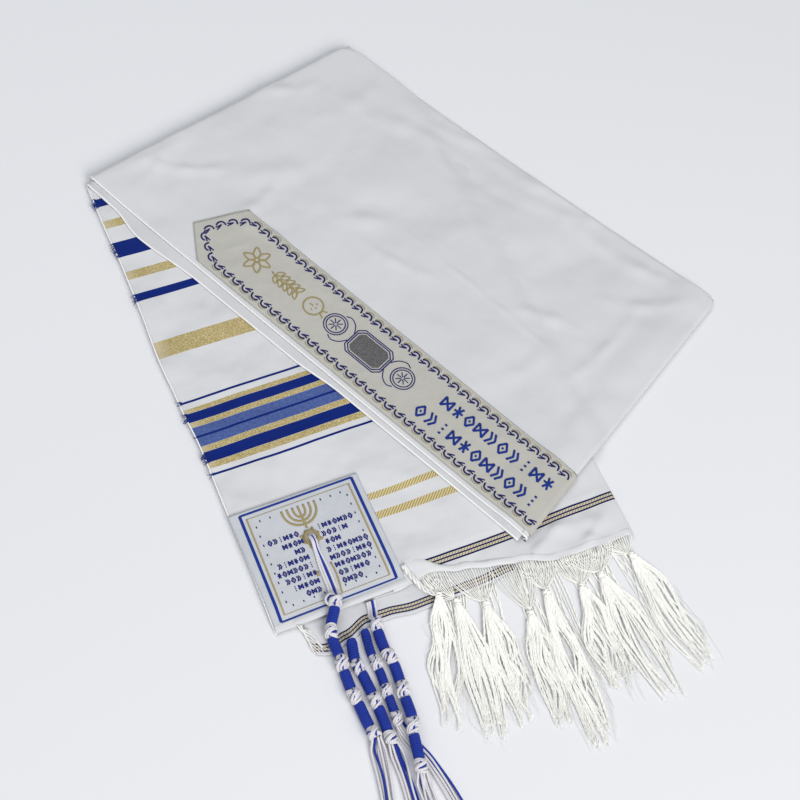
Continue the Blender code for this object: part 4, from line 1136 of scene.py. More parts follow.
def neck_foot(across):
    """Where a line along the neckband reaches the middle fold's foot, and its length to the band's tip."""
    start = MIDDLE_SELVEDGE - SELVEDGE_OUT * (NECKBAND_INSET + across)
    tip = start + NECK_WAY * NECKBAND_LENGTH
    fold_foot = MIDDLE_SELVEDGE - MIDDLE_OUT * MIDDLE_REACH
    to_fold = (fold_foot - tip).dot(MIDDLE_OUT) / -NECK_WAY.dot(MIDDLE_OUT)
    return tip - NECK_WAY * to_fold, to_fold


def neck_place(along, across, lift=0.0):
    """A place on the neckband: along from its tip line, across from its selvedge side."""
    foot, to_fold = neck_foot(across)
    raised = GAP + NECKBAND_THICK + lift
    if along <= to_fold:
        plan = foot + NECK_WAY * (to_fold - along)
        raised += max(relief(NECK_CREASES, along, across), 0.0)
        return at_height(plan, panel_surface(plan) + raised)
    rests = fold_floor(foot)
    half = (panel_top(foot) - rests) / 2
    angle = radians(90 - NECK_TURN * (along - to_fold) / NECK_WRAP)
    plan = foot + MIDDLE_OUT * (MIDDLE_REACH + raised) * cos(angle)
    return at_height(plan, rests + half + (half + raised) * sin(angle))


def neck_back(share):
    """How far back of its tip line the band starts, by share of the way across it."""
    return along_table(NECKBAND_POINT, share, float)


def neckband():
    """The band itself, with its pointed end, over the middle fold."""
    def place(column, row):
        across = column * NECKBAND_WIDTH
        _, to_fold = neck_foot(across)
        if row <= 1.0:
            return neck_place(mix(neck_back(column), to_fold, row), across)
        return neck_place(to_fold + NECK_WRAP * (row - 1.0), across)

    columns = sorted({*even(24), *(share for share, _ in NECKBAND_POINT)})
    bm, _ = laid_grid(columns, even(120) + [1.0 + step / 10 for step in range(1, 11)], place)
    material = canvas("neckband ground", (0.44, 0.43, 0.38), (0.60, 0.60, 0.56), PANEL_HEADING)
    finish_piece(bm, "neckband_cloth", material, ["neckband"], NECKBAND_THICK)


# One unit of the border, one long along the edge, with y towards the band's outside: each stroke's half
# width, its thread and its points. The last one, the echo, is left out round the point
BORDER_UNIT = (
    (0.00076, 0, ((-0.30, 0.12), (-0.16, 0.24), (0.02, 0.29), (0.21, 0.26), (0.35, 0.12), (0.41, -0.14))),
    (0.00068, 0, ((-0.42, -0.02), (-0.20, -0.05), (0.10, 0.01))),
    (0.00060, 0, ((-0.41, -0.28), (-0.16, -0.16), (0.10, 0.01))),
    (0.00042, 1, ((-0.32, 0.27), (-0.10, 0.43), (0.13, 0.48), (0.34, 0.42), (0.45, 0.28))),
)


def neckband_border(repeat):
    """The sprig and hook repeat that runs down one side of the neckband, round its point and up the
    other, in navy with a gold echo, and the seam at each edge."""
    bm = new_sink()
    middle, inset, seam = Vector((0.2, NECKBAND_WIDTH / 2)), 0.0078, 0.0012
    far = NECKBAND_WIDTH - inset
    ends = [neck_foot(across)[1] + 0.002 for across in (inset, far)]
    corners = [Vector(point) for point in (
        (ends[0], inset), (0.0375, inset), (0.0115, NECKBAND_WIDTH * 0.36),
        (0.0190, NECKBAND_WIDTH * 0.66), (0.0330, far), (ends[1], far))]
    for start, end in zip(corners, corners[1:]):
        length, way = (end - start).length, (end - start).normalized()
        units = max(1, round(length / repeat))
        pitch = length / units
        out = left_of(way)
        if (start + out * 0.001 - middle).length < (start - middle).length:
            out = -out
        for unit in range(units):
            corner = start + way * pitch * (unit + 0.45)

            def surface(x, y, rise):
                return neck_place(*(corner + way * x * pitch + out * y * pitch), rise)

            for half, thread, points in BORDER_UNIT[:-1] if length < POINT_SIDE else BORDER_UNIT:
                add_stroke(bm, points, surface, half, thread)
    for across in (seam, NECKBAND_WIDTH - seam):
        ends = ((neck_back(across / NECKBAND_WIDTH) + seam, across), (neck_foot(across)[1], across))
        add_stroke(bm, ends, neck_place, 0.00035, 2, 90)
    materials = [yarn("navy stitches", (0.016, 0.016, 0.135)), yarn("gold stitches", (0.400, 0.340, 0.160)),
                 yarn("edge seam", (0.700, 0.700, 0.660))]
    finish_piece(bm, "neckband_border", materials)


def gold_motifs():
    """Three plain gold motifs in a row: a rosette, an olive spray and a pomegranate."""
    bm = new_sink()
    rosette, spray, fruit = (
        shifted(neck_place, along, MOTIF_LINE, size)
        for along, size in ((0.0600, 0.0120), (0.0900, 0.0130), (0.1200, 0.0095)))
    for step in range(6):
        add_stroke(bm, petal(1.0, 0.46, 60 * step + 12), rosette, 0.00068)
    add_stroke(bm, ring_points(0.16, 8), rosette, 0.00060)
    add_stroke(bm, ((-1.1, 0.05), (-0.4, -0.10), (0.3, 0.06), (1.1, -0.04)), spray, 0.00066)
    for step in range(5):
        for side in (-1, 1):
            leaf = [(-0.8 + 0.4 * step + x, 0.02 + y) for x, y in petal(0.62, 0.26, side * 52, 0.05)]
            add_stroke(bm, leaf, spray, 0.00056)
    add_stroke(bm, ring_points(0.85, 12), fruit, 0.00070)
    for x, y in ((0.95, 0.0), (1.25, 0.35), (1.30, -0.35)):
        add_stroke(bm, ((0.82, y * 0.4), (x, y)), fruit, 0.00062)
    for x, y in ((-0.3, 0.0), (0.1, 0.35), (0.1, -0.35), (0.3, 0.0), (-0.1, 0.0)):
        add_stroke(bm, ((x - 0.06, y), (x + 0.06, y)), fruit, 0.00062)
    finish_piece(bm, "neckband_gold_motifs", yarn("gold motif stitches", (0.380, 0.310, 0.135)))


def medallion():
    """A cut-cornered panel of grey weave between two rosettes, outlined in navy."""
    bm = new_sink()
    surface = shifted(neck_place, 0.1780, MOTIF_LINE)
    cut = 0.0045
    for length, width in ((0.0165, 0.0110), (0.0181, 0.0126)):
        corners = ((length, width - cut), (length - cut, width))
        outline = [(x * right, y * up)
                   for right, up, order in ((1, 1, 1), (-1, 1, -1), (-1, -1, 1), (1, -1, -1))
                   for x, y in corners[::order]]
        add_straights(bm, outline + outline[:1], surface, 0.00052, 4)
    for side in (-1, 1):
        centre = Vector((0.0345 * side, 0.0))
        for ring in (0.0096, 0.0076):
            add_stroke(bm, [(centre.x + x, y) for x, y in ring_points(ring, 12)], surface, 0.00048, count=36)
        for step in range(8):
            way = turned(45 * step)
            add_stroke(bm, (centre + way * 0.0012, centre + way * 0.0056), surface, 0.00044, count=3)
        for across in (-1, 1):
            scroll = ((0.0185, 0.0040), (0.0225, 0.0100), (0.0285, 0.0130), (0.0330, 0.0112))
            add_stroke(bm, [(x * side, y * across) for x, y in scroll], surface, 0.00046)
    for share in even(29):
        x = mix(-0.0145, 0.0145, share)
        reach = 0.0095 - max(0.0, abs(x) - 0.0115)
        add_stroke(bm, ((x, -reach), (x, reach)), surface, 0.00040, 1, 8, 0.25)
    materials = [yarn("navy outline stitches", (0.020, 0.022, 0.160)),
                 yarn("grey inlay", (0.110, 0.110, 0.125))]
    finish_piece(bm, "neckband_medallion", materials)


def neckband_rows():
    """Two rows of blue marks towards the middle fold."""
    bm = new_sink()
    for first, across, start in ((0, 0.0215, 0.2300), (3, 0.0410, 0.2420)):
        end = min(0.4000, neck_foot(across)[1] + 0.001)
        ornament_row(bm, shifted(neck_place, 0.0, across), start, end, 0.0122, 0.00100, first)
    finish_piece(bm, "neckband_rows", yarn("blue row stitches", (0.010, 0.036, 0.270)))


# ---------------------------------------------------------------- corner patch

def patch_place(x, y, rise=0.0):
    """A place on the patch: x and y in plan."""
    return Vector((x, y, striped_surface(x, y) + 2 * GAP + PATCH_THICK + rise))


def corner_patch():
    """The patch's satin ground."""
    columns = [mix(PATCH["left"], PATCH["right"], share) for share in even(64)]
    rows = [mix(PATCH["bottom"], PATCH["top"], share) for share in even(64)]
    bm, _ = laid_grid(columns, rows, patch_place)
    material = canvas("patch satin", (0.52, 0.55, 0.60), (0.66, 0.68, 0.71))
    finish_piece(bm, "patch_cloth", material, ["corner_patch"], PATCH_THICK)


def patch_hem():
    """The cloth's own white hem, turned up over the patch's lower edge."""
    def place(column, row):
        x = mix(PATCH["left"] - 0.0003, PATCH["right"] + 0.0006, column)
        y = mix(PATCH["bottom"] - 0.0006, 0.0057 + 0.0005 * sin(70 * x), row)
        bulge = 0.0006 * sin(pi * min(row * 1.1, 1.0)) + 0.0002 * (1 - row) * sin(150 * x)
        return patch_place(x, y, 0.0001 + bulge)

    bm, _ = laid_grid(even(90), even(10), place)
    # A brighter copy of the white cloth: a painted highlight on the turned-up hem
    finish_piece(bm, "patch_hem", white_cloth("white cloth, patch hem, painted highlight", bright=1.08), wall=0.0004)


# The patch's frame: its corners, how far in its gold line and its dots lie, and the dots to a side
FRAME_LOW = (Vector((0.0054, 0.0067)), Vector((0.0963, 0.0080)))
FRAME_HIGH = (Vector((0.0073, 0.0925)), Vector((0.0966, 0.0933)))
GOLD_INSET = 0.0040
DOT_INSET = 0.0085
DOTS = 9


def frame_point(share_x, share_y, inset=0.0):
    """A place in the patch's frame, inset from its lines."""
    place = FRAME_LOW[0].lerp(FRAME_LOW[1], share_x).lerp(FRAME_HIGH[0].lerp(FRAME_HIGH[1], share_x), share_y)
    return place + Vector((inset * (1 - 2 * share_x), inset * (1 - 2 * share_y)))


def patch_frame():
    """The royal blue frame, its thin gold line, and the navy dots inside."""
    bm = new_sink()
    for start, end, blue, gold in (((0, 0), (1, 0), 0.0007, 0.00028), ((1, 0), (1, 1), 0.0013, 0.00075),
                                   ((1, 1), (0, 1), 0.0009, 0.00028), ((0, 1), (0, 0), 0.0013, 0.00075)):
        add_stroke(bm, (frame_point(*start), frame_point(*end)), patch_place, blue, 0, 40, 0.2)
        ends = (frame_point(*start, GOLD_INSET), frame_point(*end, GOLD_INSET))
        add_stroke(bm, ends, patch_place, gold, 1, 40)
    for side in range(4):
        for step in range(DOTS):
            # The candlestick stands in the top row's middle
            if side == 2 and 2 <= step <= 5:
                continue
            share = (step + 0.5) / DOTS
            dot = frame_point(*((share, 0.0), (1.0, share), (share, 1.0), (0.0, share))[side], DOT_INSET)
            ends = ((dot.x - 0.0004, dot.y), (dot.x + 0.0004, dot.y))
            add_stroke(bm, ends, patch_place, 0.00085, 2, 2, 0.4)
    materials = [yarn("royal frame stitches", (0.010, 0.040, 0.300)),
                 yarn("gold line stitches", (0.430, 0.360, 0.180)),
                 yarn("navy dot stitches", (0.015, 0.020, 0.140))]
    finish_piece(bm, "patch_frame", materials)


def patch_candlestick():
    """The seven-branched candlestick at the patch's top, and the foot of its stem below the eyelet."""
    bm = new_sink()
    middle, top, base = 0.0500, 0.0856, 0.0670
    add_stroke(bm, ((middle, top), (middle, base)), patch_place, 0.00100, count=14, flat=0.25)
    for branch in (1, 2, 3):
        reach, deep = 0.0043 * branch, 0.0026 + 0.0031 * branch
        for side in (-1, 1):
            points = [(middle + side * reach, top)]
            for angle in (0, 20, 40, 60, 75, 90):
                way = turned(angle)
                points.append((middle + side * reach * way.x, top - 0.0035 - deep * way.y))
            add_stroke(bm, points, patch_place, 0.00100, count=14, flat=0.25)
    foot = ((0.0556, 0.0360), (0.0562, 0.0270), (0.0552, 0.0180), (0.0545, 0.0120))
    add_stroke(bm, foot, patch_place, 0.0008, flat=0.2)
    add_stroke(bm, ((0.0440, 0.0330), (0.0432, 0.0290)), patch_place, 0.0011, flat=0.2)
    for step in range(8):
        way = turned(45 * step + 20)
        ends = (EYELET + way * 0.0052, EYELET + way * (0.0086 if step % 2 else 0.0074))
        add_stroke(bm, ends, patch_place, 0.0015, flat=0.3, taper=0.5)
    material = yarn("gold candlestick stitches", (0.400, 0.330, 0.165))
    finish_piece(bm, "patch_candlestick", material)


# The patch's rows of marks: each one's height, start and end
PATCH_ROWS = (
    (0.065, 0.017, 0.086), (0.0585, 0.027, 0.08), (0.052, 0.033, 0.072), (0.0455, 0.017, 0.09),
    (0.039, 0.015, 0.09), (0.0325, 0.019, 0.088), (0.026, 0.021, 0.084), (0.0195, 0.028, 0.076),
)


def patch_rows():
    """Rows of small navy marks across the patch, clear of the tassel's cords."""
    bm = new_sink()
    clear, size, half = 0.0062, 0.0046, 0.00054
    for number, (y, start, end) in enumerate(PATCH_ROWS):
        surface = shifted(patch_place, 0.0, y)
        ornament_row(bm, surface, start, EYELET.x - clear, size, half, 3 * number)
        ornament_row(bm, surface, EYELET.x + clear, end, size, half, 5 * number + 2)
    finish_piece(bm, "patch_rows", yarn("navy row stitches", (0.012, 0.018, 0.210)))


def eyelet():
    """The worked eyelet: gold thread wound over its ring."""
    bm = new_sink()
    low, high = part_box("eyelet_ring")
    radius = (high.x - low.x) / 2 - 0.0012
    height = (low.z + high.z) / 2 - 0.0003
    turns, steps = 34, 8
    route = []
    for share in even(turns * steps):
        around = 2 * pi * share
        out = radius + 0.0010 * cos(turns * around)
        route.append(Vector((EYELET.x + out * cos(around), EYELET.y + out * sin(around),
                             height + 0.0007 * sin(turns * around))))
    add_strand(bm, route, 0.00042)
    material = yarn("gold eyelet thread", (0.450, 0.370, 0.190))
    finish_piece(bm, "eyelet_stitches", material, ["eyelet_ring"])


# ---------------------------------------------------------------- tzitzit

class Wound:
    """A tassel's body: double knots and windings in turn along its route, on whatever lies under it."""

    def __init__(self, spec):
        self.route = [Vector((*point, 0.0)[:3]) for point in spec["body"]]
        self.size = spec["size"]
        self.knot_first = bool(spec["cords"])
        self.spans = len(self.route) - 1
        self.heights = []
        for span in range(self.spans):
            radius = (KNOT_RADIUS if self.is_knot(span) else WINDING_RADIUS) * self.size
            for at in (0.5,) if self.is_knot(span) else (0.1, 0.9):
                share = (span + at) / self.spans
                middle = self.middle(share)
                way, side = self.ways(share)
                rests = highest_under(middle.xy, side * radius * 0.7, way * radius) + middle.z
                self.heights.append((share, rests + FLOOR_CLEARANCE + radius))

    def is_knot(self, span):
        return (span % 2 == 0) == self.knot_first

    def middle(self, share):
        return curve_through(self.route, share)

    def height(self, share):
        return along_table(self.heights, share)

    def length(self, span):
        return (self.middle((span + 1) / self.spans) - self.middle(span / self.spans)).length

    def ways(self, share):
        """Which way the body runs at a share of its length, and its left-hand side."""
        way = way_at(self.route, share)
        return way, left_of(way)

    def place(self, share, angle, radius, along=0.0):
        """A place round the body: the angle about it, the distance out, and a lean along it."""
        way, side = self.ways(share)
        plan = self.middle(share).xy + way * along + side * radius * cos(angle)
        return at_height(plan, self.height(share) + radius * sin(angle))


def add_winding(bm, body, span):
    """Close coils of blue cord over one stretch of a tassel's body."""
    count = COIL_STEPS * round(body.length(span) * COIL_SHARE / COIL_PITCH)
    route = []
    for step in range(count + 1):
        at = (1 - COIL_SHARE) / 2 + COIL_SHARE * step / count
        squeeze = 1.0 - 0.14 * abs(2 * at - 1) ** 8
        if span == 0:
            squeeze *= mix(0.80, 1.0, smooth(at / 0.3))
        radius = (WINDING_RADIUS * body.size - 0.0009) * squeeze
        route.append(body.place((span + at) / body.spans, 2 * pi * step / COIL_STEPS, radius))
    way, _ = body.ways(span / body.spans)
    add_strand(bm, route, COIL_HALF * body.size, 7, 1.05, material=1, lay=Vector((*way, 0.0)))


def add_knot(bm, body, span, draw):
    """A double knot: two crossing bands of cord round the body, and the cords that cross over them."""
    size = body.size
    turn = draw(0.0, 2 * pi)
    for band, (at, lean) in enumerate(((0.34, 0.0019), (0.66, -0.0021))):
        for cord in range(3):
            bulge = (0.0040 if cord == 1 else 0.0036) * size
            route = [
                body.place((span + at) / body.spans, turn + angle, bulge,
                           (cord - 1) * 0.0015 + lean * sin(angle + 0.5 * cord))
                for angle in (2 * pi * share for share in even(18))]
            add_strand(bm, route, 0.00098 * size, 7, material=int(band == 1 and cord == 0))
    for start, end, half, thread in ((0.4, 2.5, 0.00105, 0), (0.9, 2.9, 0.00105, 0), (1.5, 1.9, 0.00075, 1)):
        sway = draw(-0.3, 0.3)
        route = []
        for part in even(12):
            radius = (0.0037 + 0.0013 * sin(pi * part)) * size
            share = (span + mix(0.06, 0.94, part)) / body.spans
            route.append(body.place(share, mix(start, end, smooth(part)) + sway, radius))
        add_strand(bm, route, half * size, 7, material=thread)
    # A long first knot has room for a loop
    if body.length(span) > BOW_KNOT and span == 0:
        add_bow(bm, body)


def add_bow(bm, body):
    """The loop of cord that stands out of the first knot's right side."""
    share = 0.5 / body.spans
    way, side = body.ways(share)
    for reach, half, material in ((0.0062, 0.00100, 0), (0.0046, 0.00070, 1)):
        route = [
            at_height(body.middle(share).xy + way * along - side * reach * out, body.height(share) + up)
            for along, out, up in ((-0.004, 0.15, 0.0012), (-0.0042, 0.75, 0.0008), (-0.001, 1.15, -0.0004),
                                   (0.0028, 0.85, -0.0008), (0.0030, 0.15, 0.0004))]
        add_strand(bm, smooth_route(route, 20), half, 7, material=material)


def add_tails(bm, body, spec, draw):
    """Eight loose cords in two layers, most of them white."""
    middles = [body.middle(1.0).xy] + [Vector(point) for point in spec["tails"]]
    radius = KNOT_RADIUS * 0.72 * body.size
    start_height = body.height(1.0) - (KNOT_RADIUS - radius) * 0.5
    for number in range(TAILS):
        upper, place = divmod(number, TAILS // 2)
        lean = (place - 1.5) * 0.5
        sway, waves, reach = draw(-0.0012, 0.0012), draw(1.0, 2.2), draw(0.90, 1.0)
        route = []
        for share in even(40):
            part = reach * share
            plan = curve_through(middles, part)
            settled = smooth(part * TAIL_DROP)
            plan += left_of(way_at(middles, part)) * (
                lean * mix(radius, spec["spread"], settled) + sway * settled * sin(2 * pi * waves * part))
            low = support(plan.x, plan.y) + 0.0010 + (TAIL_LAYER if upper else 0.0)
            high = start_height + (0.0016 if upper else -0.0010)
            route.append(at_height(plan, mix(high, low, settled)))
        add_strand(bm, route, TAIL_HALF, 7, taper=0.9, material=int(number in spec["blue_tails"]))


def add_top_cords(bm, body, cords):
    """Four cords side by side from the cloth to the first knot, one of them blue."""
    head, inner = body.middle(0.0), body.middle(0.5 / body.spans)
    for number in range(TOP_CORDS):
        lean = number - (TOP_CORDS - 1) / 2
        points = []
        for x, y, up in cords:
            gathered = (Vector((x, y)) - EYELET).length < EYELET_GATHER
            low = highest_under(Vector((x, y)), Vector((0.001, 0)), Vector((0, 0.001)))
            points.append(Vector((x + (0.0010 if gathered else 0.0019) * lean, y, low + 0.0011 + up)))
        points.append(Vector((head.x + lean * 0.0011, head.y, body.height(0.0) + 0.0005)))
        points.append(Vector((inner.x + lean * 0.0006, inner.y, body.height(0.5 / body.spans))))
        add_strand(bm, smooth_route(points, 30), CORD_HALF, 8, material=int(number == 2))


def tassel(name, spec, materials, seed):
    """One tassel: its top cords, blue windings over a white core, double knots and eight tail cords."""
    draw = random.Random(seed).uniform
    bm = new_sink()
    body = Wound(spec)
    first = 0.0 if body.knot_first else 0.9 / body.spans
    core = [body.place(mix(first, 1.0, share), 0.0, 0.0) for share in even(60)]
    add_strand(bm, core, CORE_HALF * body.size, 10)
    for span in range(body.spans):
        if body.is_knot(span):
            add_knot(bm, body, span, draw)
        else:
            add_winding(bm, body, span)
    add_tails(bm, body, spec, draw)
    if spec["cords"]:
        add_top_cords(bm, body, spec["cords"])
    finish_piece(bm, name + "_cords", materials, [name])


# ---------------------------------------------------------------- fringe

def add_yarn(sink, middles, half, pitch, fray, phase):
    """One soft yarn along a way of places: three plies wound round each other, which part at its end."""
    for ply in range(YARN_PLIES):
        route = []
        length = 0.0
        for number, place in enumerate(middles):
            before, after = neighbours(middles, number)
            length += (place - before).length
            side = left_of((after - before).normalized()).normalized()
            loose = 1.0 + fray * smooth((number / (len(middles) - 1) - 0.8) / 0.2)
            angle = phase + 2 * pi * (length / pitch + ply / YARN_PLIES)
            out = half * PLY_SHARE * loose
            plan = place.xy + side * out * cos(angle)
            route.append(at_height(plan, place.z + out * 0.6 * sin(angle)))
        add_strand(sink, route, half * PLY_SHARE, 4, taper=0.45)


def lock_way(start, goal, side, waves, turns, bow, pile, count=30):
    """Places along a wavy lock that falls from its start on to what lies under it."""
    way = []
    for part in even(count):
        plan = mix(start.xy, goal, part) + side * bow * sin(pi * part)
        plan += side * waves * sin(2 * pi * turns * part) * smooth(part * 3)
        low = support(plan.x, plan.y) + 0.0009 + pile * (1 - 0.6 * part)
        way.append(at_height(plan, mix(start.z, low, smooth(part * 4.5))))
    return way


def add_fringe_knot(bm, middle, heading, side, draw):
    """A small tight knot of several turns, each at its own lean."""
    for loop in range(KNOT_LOOPS):
        lean, turn, tilt = draw(-0.0014, 0.0014), draw(0, 2 * pi), draw(-0.0012, 0.0012)
        off = 2 * loop / (KNOT_LOOPS - 1) - 1
        shift, width = 0.0018 * off, 0.0025 - 0.0005 * abs(off)
        ring = []
        for share in even(14):
            angle = 2 * pi * share + turn
            plan = middle.xy + side * width * cos(angle) + heading * (shift + lean * cos(angle - turn))
            ring.append(at_height(plan, middle.z + 0.0018 * sin(angle) + tilt * cos(angle)))
        add_strand(bm, ring, draw(0.00058, 0.00082), 6)


def add_fan(bm, low_x, high_x, middle, heading, side, per_metre, draw):
    """Fine threads from a stretch of hem that sweep together into a knot."""
    threads = round((high_x - low_x) * per_metre)
    for thread in range(threads):
        share = (thread + 0.5) / threads
        lean = 2 * share - 1
        x = mix(low_x, high_x, share) + draw(-0.0003, 0.0003)
        y = hem_y(x)
        start = Vector((x, y + 0.0012, striped_top(x, y) + 0.0002))
        end = middle + Vector((*(side * lean * -0.0016 - heading * 0.0012), 0.0010 * (thread % 3) - 0.0010))
        sag = draw(0.0, 0.0016)
        pull = 1.15 + 0.7 * abs(lean) + draw(-0.12, 0.12)
        route = []
        for part in even(12):
            plan = Vector((mix(start.x, end.x, part ** pull), mix(start.y, end.y, part ** 0.8)))
            height = mix(start.z, end.z, part)
            if 0.1 < part < 0.9:
                height = max(height - 0.0010 * sin(pi * part), support(plan.x, plan.y) + 0.0006 + sag)
            route.append(at_height(plan, height))
        add_strand(bm, route, draw(0.00032, 0.00043), 4)


def fringe_tassel(number, row, material, per_metre):
    """One fringe tassel: fine threads fan from the hem into its knot, and locks of yarn hang out."""
    chance = random.Random(40 + number)
    draw = chance.uniform
    knot_x, knot_y, fan_from, fan_to, tip_x, tip_y, spread = row
    knot, tip = Vector((knot_x, knot_y)), Vector((tip_x, tip_y))
    heading = (tip - knot).normalized()
    side = left_of(heading)
    rests = max(support(*(knot + side * aside)) for aside in (-0.003, 0.0, 0.003))
    middle = at_height(knot, rests + 0.0026)
    bm = new_sink()
    add_fringe_knot(bm, middle, heading, side, draw)
    add_fan(bm, fan_from, fan_to, middle, heading, side, per_metre, draw)
    for lock in range(FRINGE_LOCKS):
        lean = 2 * lock / (FRINGE_LOCKS - 1) - 1
        reach = draw(-0.002, 0.018) if lock % 2 else draw(-0.006, 0.006)
        goal = tip + side * spread * 0.82 * (lean + draw(-0.15, 0.15)) - heading * reach
        waves, turns = draw(-0.0030, 0.0030), draw(0.9, 2.0)
        bow, pile = lean * 0.0045 + draw(-0.0020, 0.0020), draw(0.0, 0.0020)
        for strand in range(LOCK_YARNS):
            aside = (strand - (LOCK_YARNS - 1) / 2) * YARN_SPACING + draw(-0.0004, 0.0004)
            start = middle + Vector((*(side * (lean * 0.0016 + aside * 0.2) + heading * 0.0010),
                                     draw(-0.0008, 0.0010)))
            end = goal + side * (0.5 * aside + chance.gauss(0, 0.0007)) - heading * draw(-0.005, 0.014)
            way = lock_way(start, end, side, waves + draw(-0.0008, 0.0008), turns + draw(-0.2, 0.2),
                           bow + aside * 0.6, pile + draw(0.0, 0.0018))
            add_yarn(bm, way, draw(0.00060, 0.00088), draw(0.010, 0.018), 0.4, draw(0, 2 * pi))
    for _ in range(HAIRS):
        share = draw(-1.3, 1.3)
        goal = tip + side * spread * 1.3 * share - heading * draw(-0.009, 0.040)
        start = middle + Vector((*(side * share * 0.0015), 0.0))
        way = lock_way(start, goal, side, draw(-0.0035, 0.0035), draw(1.5, 3.5), share * 0.005,
                       draw(0.0, 0.0030), 18)
        add_strand(bm, way, HAIR_HALF, 3, taper=0.6)
    finish_piece(bm, f"fringe_threads_{number + 1}", material, [f"fringe_tassel_{number + 1}"])


def back_fringe(material):
    """The second end's fringe, in plain straight locks close to the surface."""
    draw = random.Random(23).uniform
    bm = new_sink()
    for hem_x, tip_x, tip_y in BACK_FRINGE:
        tip = Vector((tip_x, tip_y))
        for strand in range(8):
            share = 2 * (strand + 0.5) / 8 - 1
            x = min(hem_x + share * 0.009, STRIP_EDGE)
            start = Vector((x, second_hem_y(x) + 0.0006, 0.0009))
            heading = (tip - start.xy).normalized()
            side = left_of(heading)
            goal = tip + side * share * 0.010 - heading * draw(0.0, 0.018)
            way = lock_way(start, goal, side, draw(-0.0028, 0.0028), draw(0.8, 2.0), -share * 0.0035, 0.0, 24)
            add_yarn(bm, way, draw(0.00050, 0.00072), draw(0.012, 0.020), 0.6, draw(0, 2 * pi))
    finish_piece(bm, "fringe_threads_back", material)


# ---------------------------------------------------------------- stage

def area_light(name, place, size, power, colour):
    """A round lamp that looks at the middle of the row frame."""
    light = bpy.data.lights.new(name, "AREA")
    light.shape = "DISK"
    light.size = size
    light.energy = power
    light.color = colour
    lamp = bpy.data.objects.new(name, light)
    lamp.location = place
    lamp.rotation_euler = (-Vector(place)).to_track_quat("-Z", "Y").to_euler()
    bpy.context.scene.collection.objects.link(lamp)


def build_stage(settings):
    scene = bpy.context.scene
    bm = bmesh.new()
    bmesh.ops.create_grid(bm, x_segments=1, y_segments=1, size=FLOOR_HALF)
    bmesh.ops.translate(bm, verts=bm.verts, vec=(0.0, 0.0, -FLOOR_BELOW))
    mesh = bpy.data.meshes.new("floor")
    bm.to_mesh(mesh)
    bm.free()
    material, _, shader = new_material("pale floor", 0.9, 0.1, 0.0)
    shader["Base Color"].default_value = (*settings.floor_colour, 1.0)
    mesh.materials.append(material)
    floor = bpy.data.objects.new("floor", mesh)
    scene.collection.objects.link(floor)
    world = bpy.data.worlds.new("soft light")
    world.use_nodes = True
    world.node_tree.nodes["Background"].inputs["Color"].default_value = (0.95, 0.97, 1.0, 1.0)
    world.node_tree.nodes["Background"].inputs["Strength"].default_value = settings.fill
    scene.world = world
    area_light("key", (0.1, -2.6, 2.3), 2.2, settings.key, (1.0, 0.978, 0.975))
    area_light("top", (-0.8, 1.2, 2.8), 2.6, settings.key * 0.32, (0.97, 0.985, 1.0))
    camera = bpy.data.objects.new("camera", bpy.data.cameras.new("camera"))
    camera.data.sensor_width = 36.0
    camera.data.lens = settings.lens
    back = CAMERA["right"].cross(CAMERA["up"])
    turn = Matrix((CAMERA["right"], CAMERA["up"], back)).transposed().to_4x4()
    camera.matrix_world = Matrix.Translation(CAMERA["place"] - PLAN_CENTRE) @ turn
    scene.collection.objects.link(camera)
    scene.camera = camera
    scene.view_settings.view_transform = "Standard"


# ---------------------------------------------------------------- add-on

class TallitClothSettings(bpy.types.PropertyGroup):
    columns: IntProperty(
        name="Columns", description="Faces across each cloth layer", default=110, min=20, max=200)


class TallitNeckbandSettings(bpy.types.PropertyGroup):
    repeat: FloatProperty(
        name="Border repeat", description="Length of one unit of the neckband's border", default=0.0098,
        min=0.004, max=0.03, subtype="DISTANCE", unit="LENGTH")


class TallitTasselSettings(bpy.types.PropertyGroup):
    blue: FloatVectorProperty(
        name="Blue", description="Colour of the tassels' blue cord", default=(0.020, 0.050, 0.400), size=3,
        subtype="COLOR", min=0.0, max=1.0)
    threads: IntProperty(
        name="Threads", description="Fringe threads for each metre of hem", default=500, min=100, max=2000)


class TallitStageSettings(bpy.types.PropertyGroup):
    floor_colour: FloatVectorProperty(
        name="Floor", description="Colour of the floor", default=(0.752, 0.765, 0.788), size=3,
        subtype="COLOR", min=0.0, max=1.0)
    fill: FloatProperty(name="Fill", description="Strength of the light all round", default=0.38, min=0.0)
    key: FloatProperty(name="Key", description="Power of the main light", default=93.0, min=0.0)
    lens: FloatProperty(name="Lens", description="Focal length in millimetres", default=73.313, min=10.0)


class TALLIT_OT_stage(bpy.types.Operator):
    """Adds the floor, the lights and the camera"""
    bl_idname = "tallit.stage"
    bl_label = "Stage"

    def execute(self, context):
        build_stage(context.scene.tallit_stage)
        return {"FINISHED"}


class TALLIT_OT_cloth(bpy.types.Operator):
    """Lays the cloth layers, the rolled hem and the selvedges"""
    bl_idname = "tallit.cloth"
    bl_label = "Cloth layers"

    def execute(self, context):
        columns = context.scene.tallit_cloth.columns
        body_cloth(columns)
        second_layer()
        striped_end(columns)
        for make in (second_end, inner_layers, selvedges, under_fold, rolled_hem, loose_threads, frayed_ends):
            make()
        return {"FINISHED"}


class TALLIT_OT_neckband(bpy.types.Operator):
    """Sews on the neckband and its woven ornament"""
    bl_idname = "tallit.neckband"
    bl_label = "Neckband"

    def execute(self, context):
        neckband()
        neckband_border(context.scene.tallit_neckband.repeat)
        for make in (gold_motifs, medallion, neckband_rows):
            make()
        return {"FINISHED"}


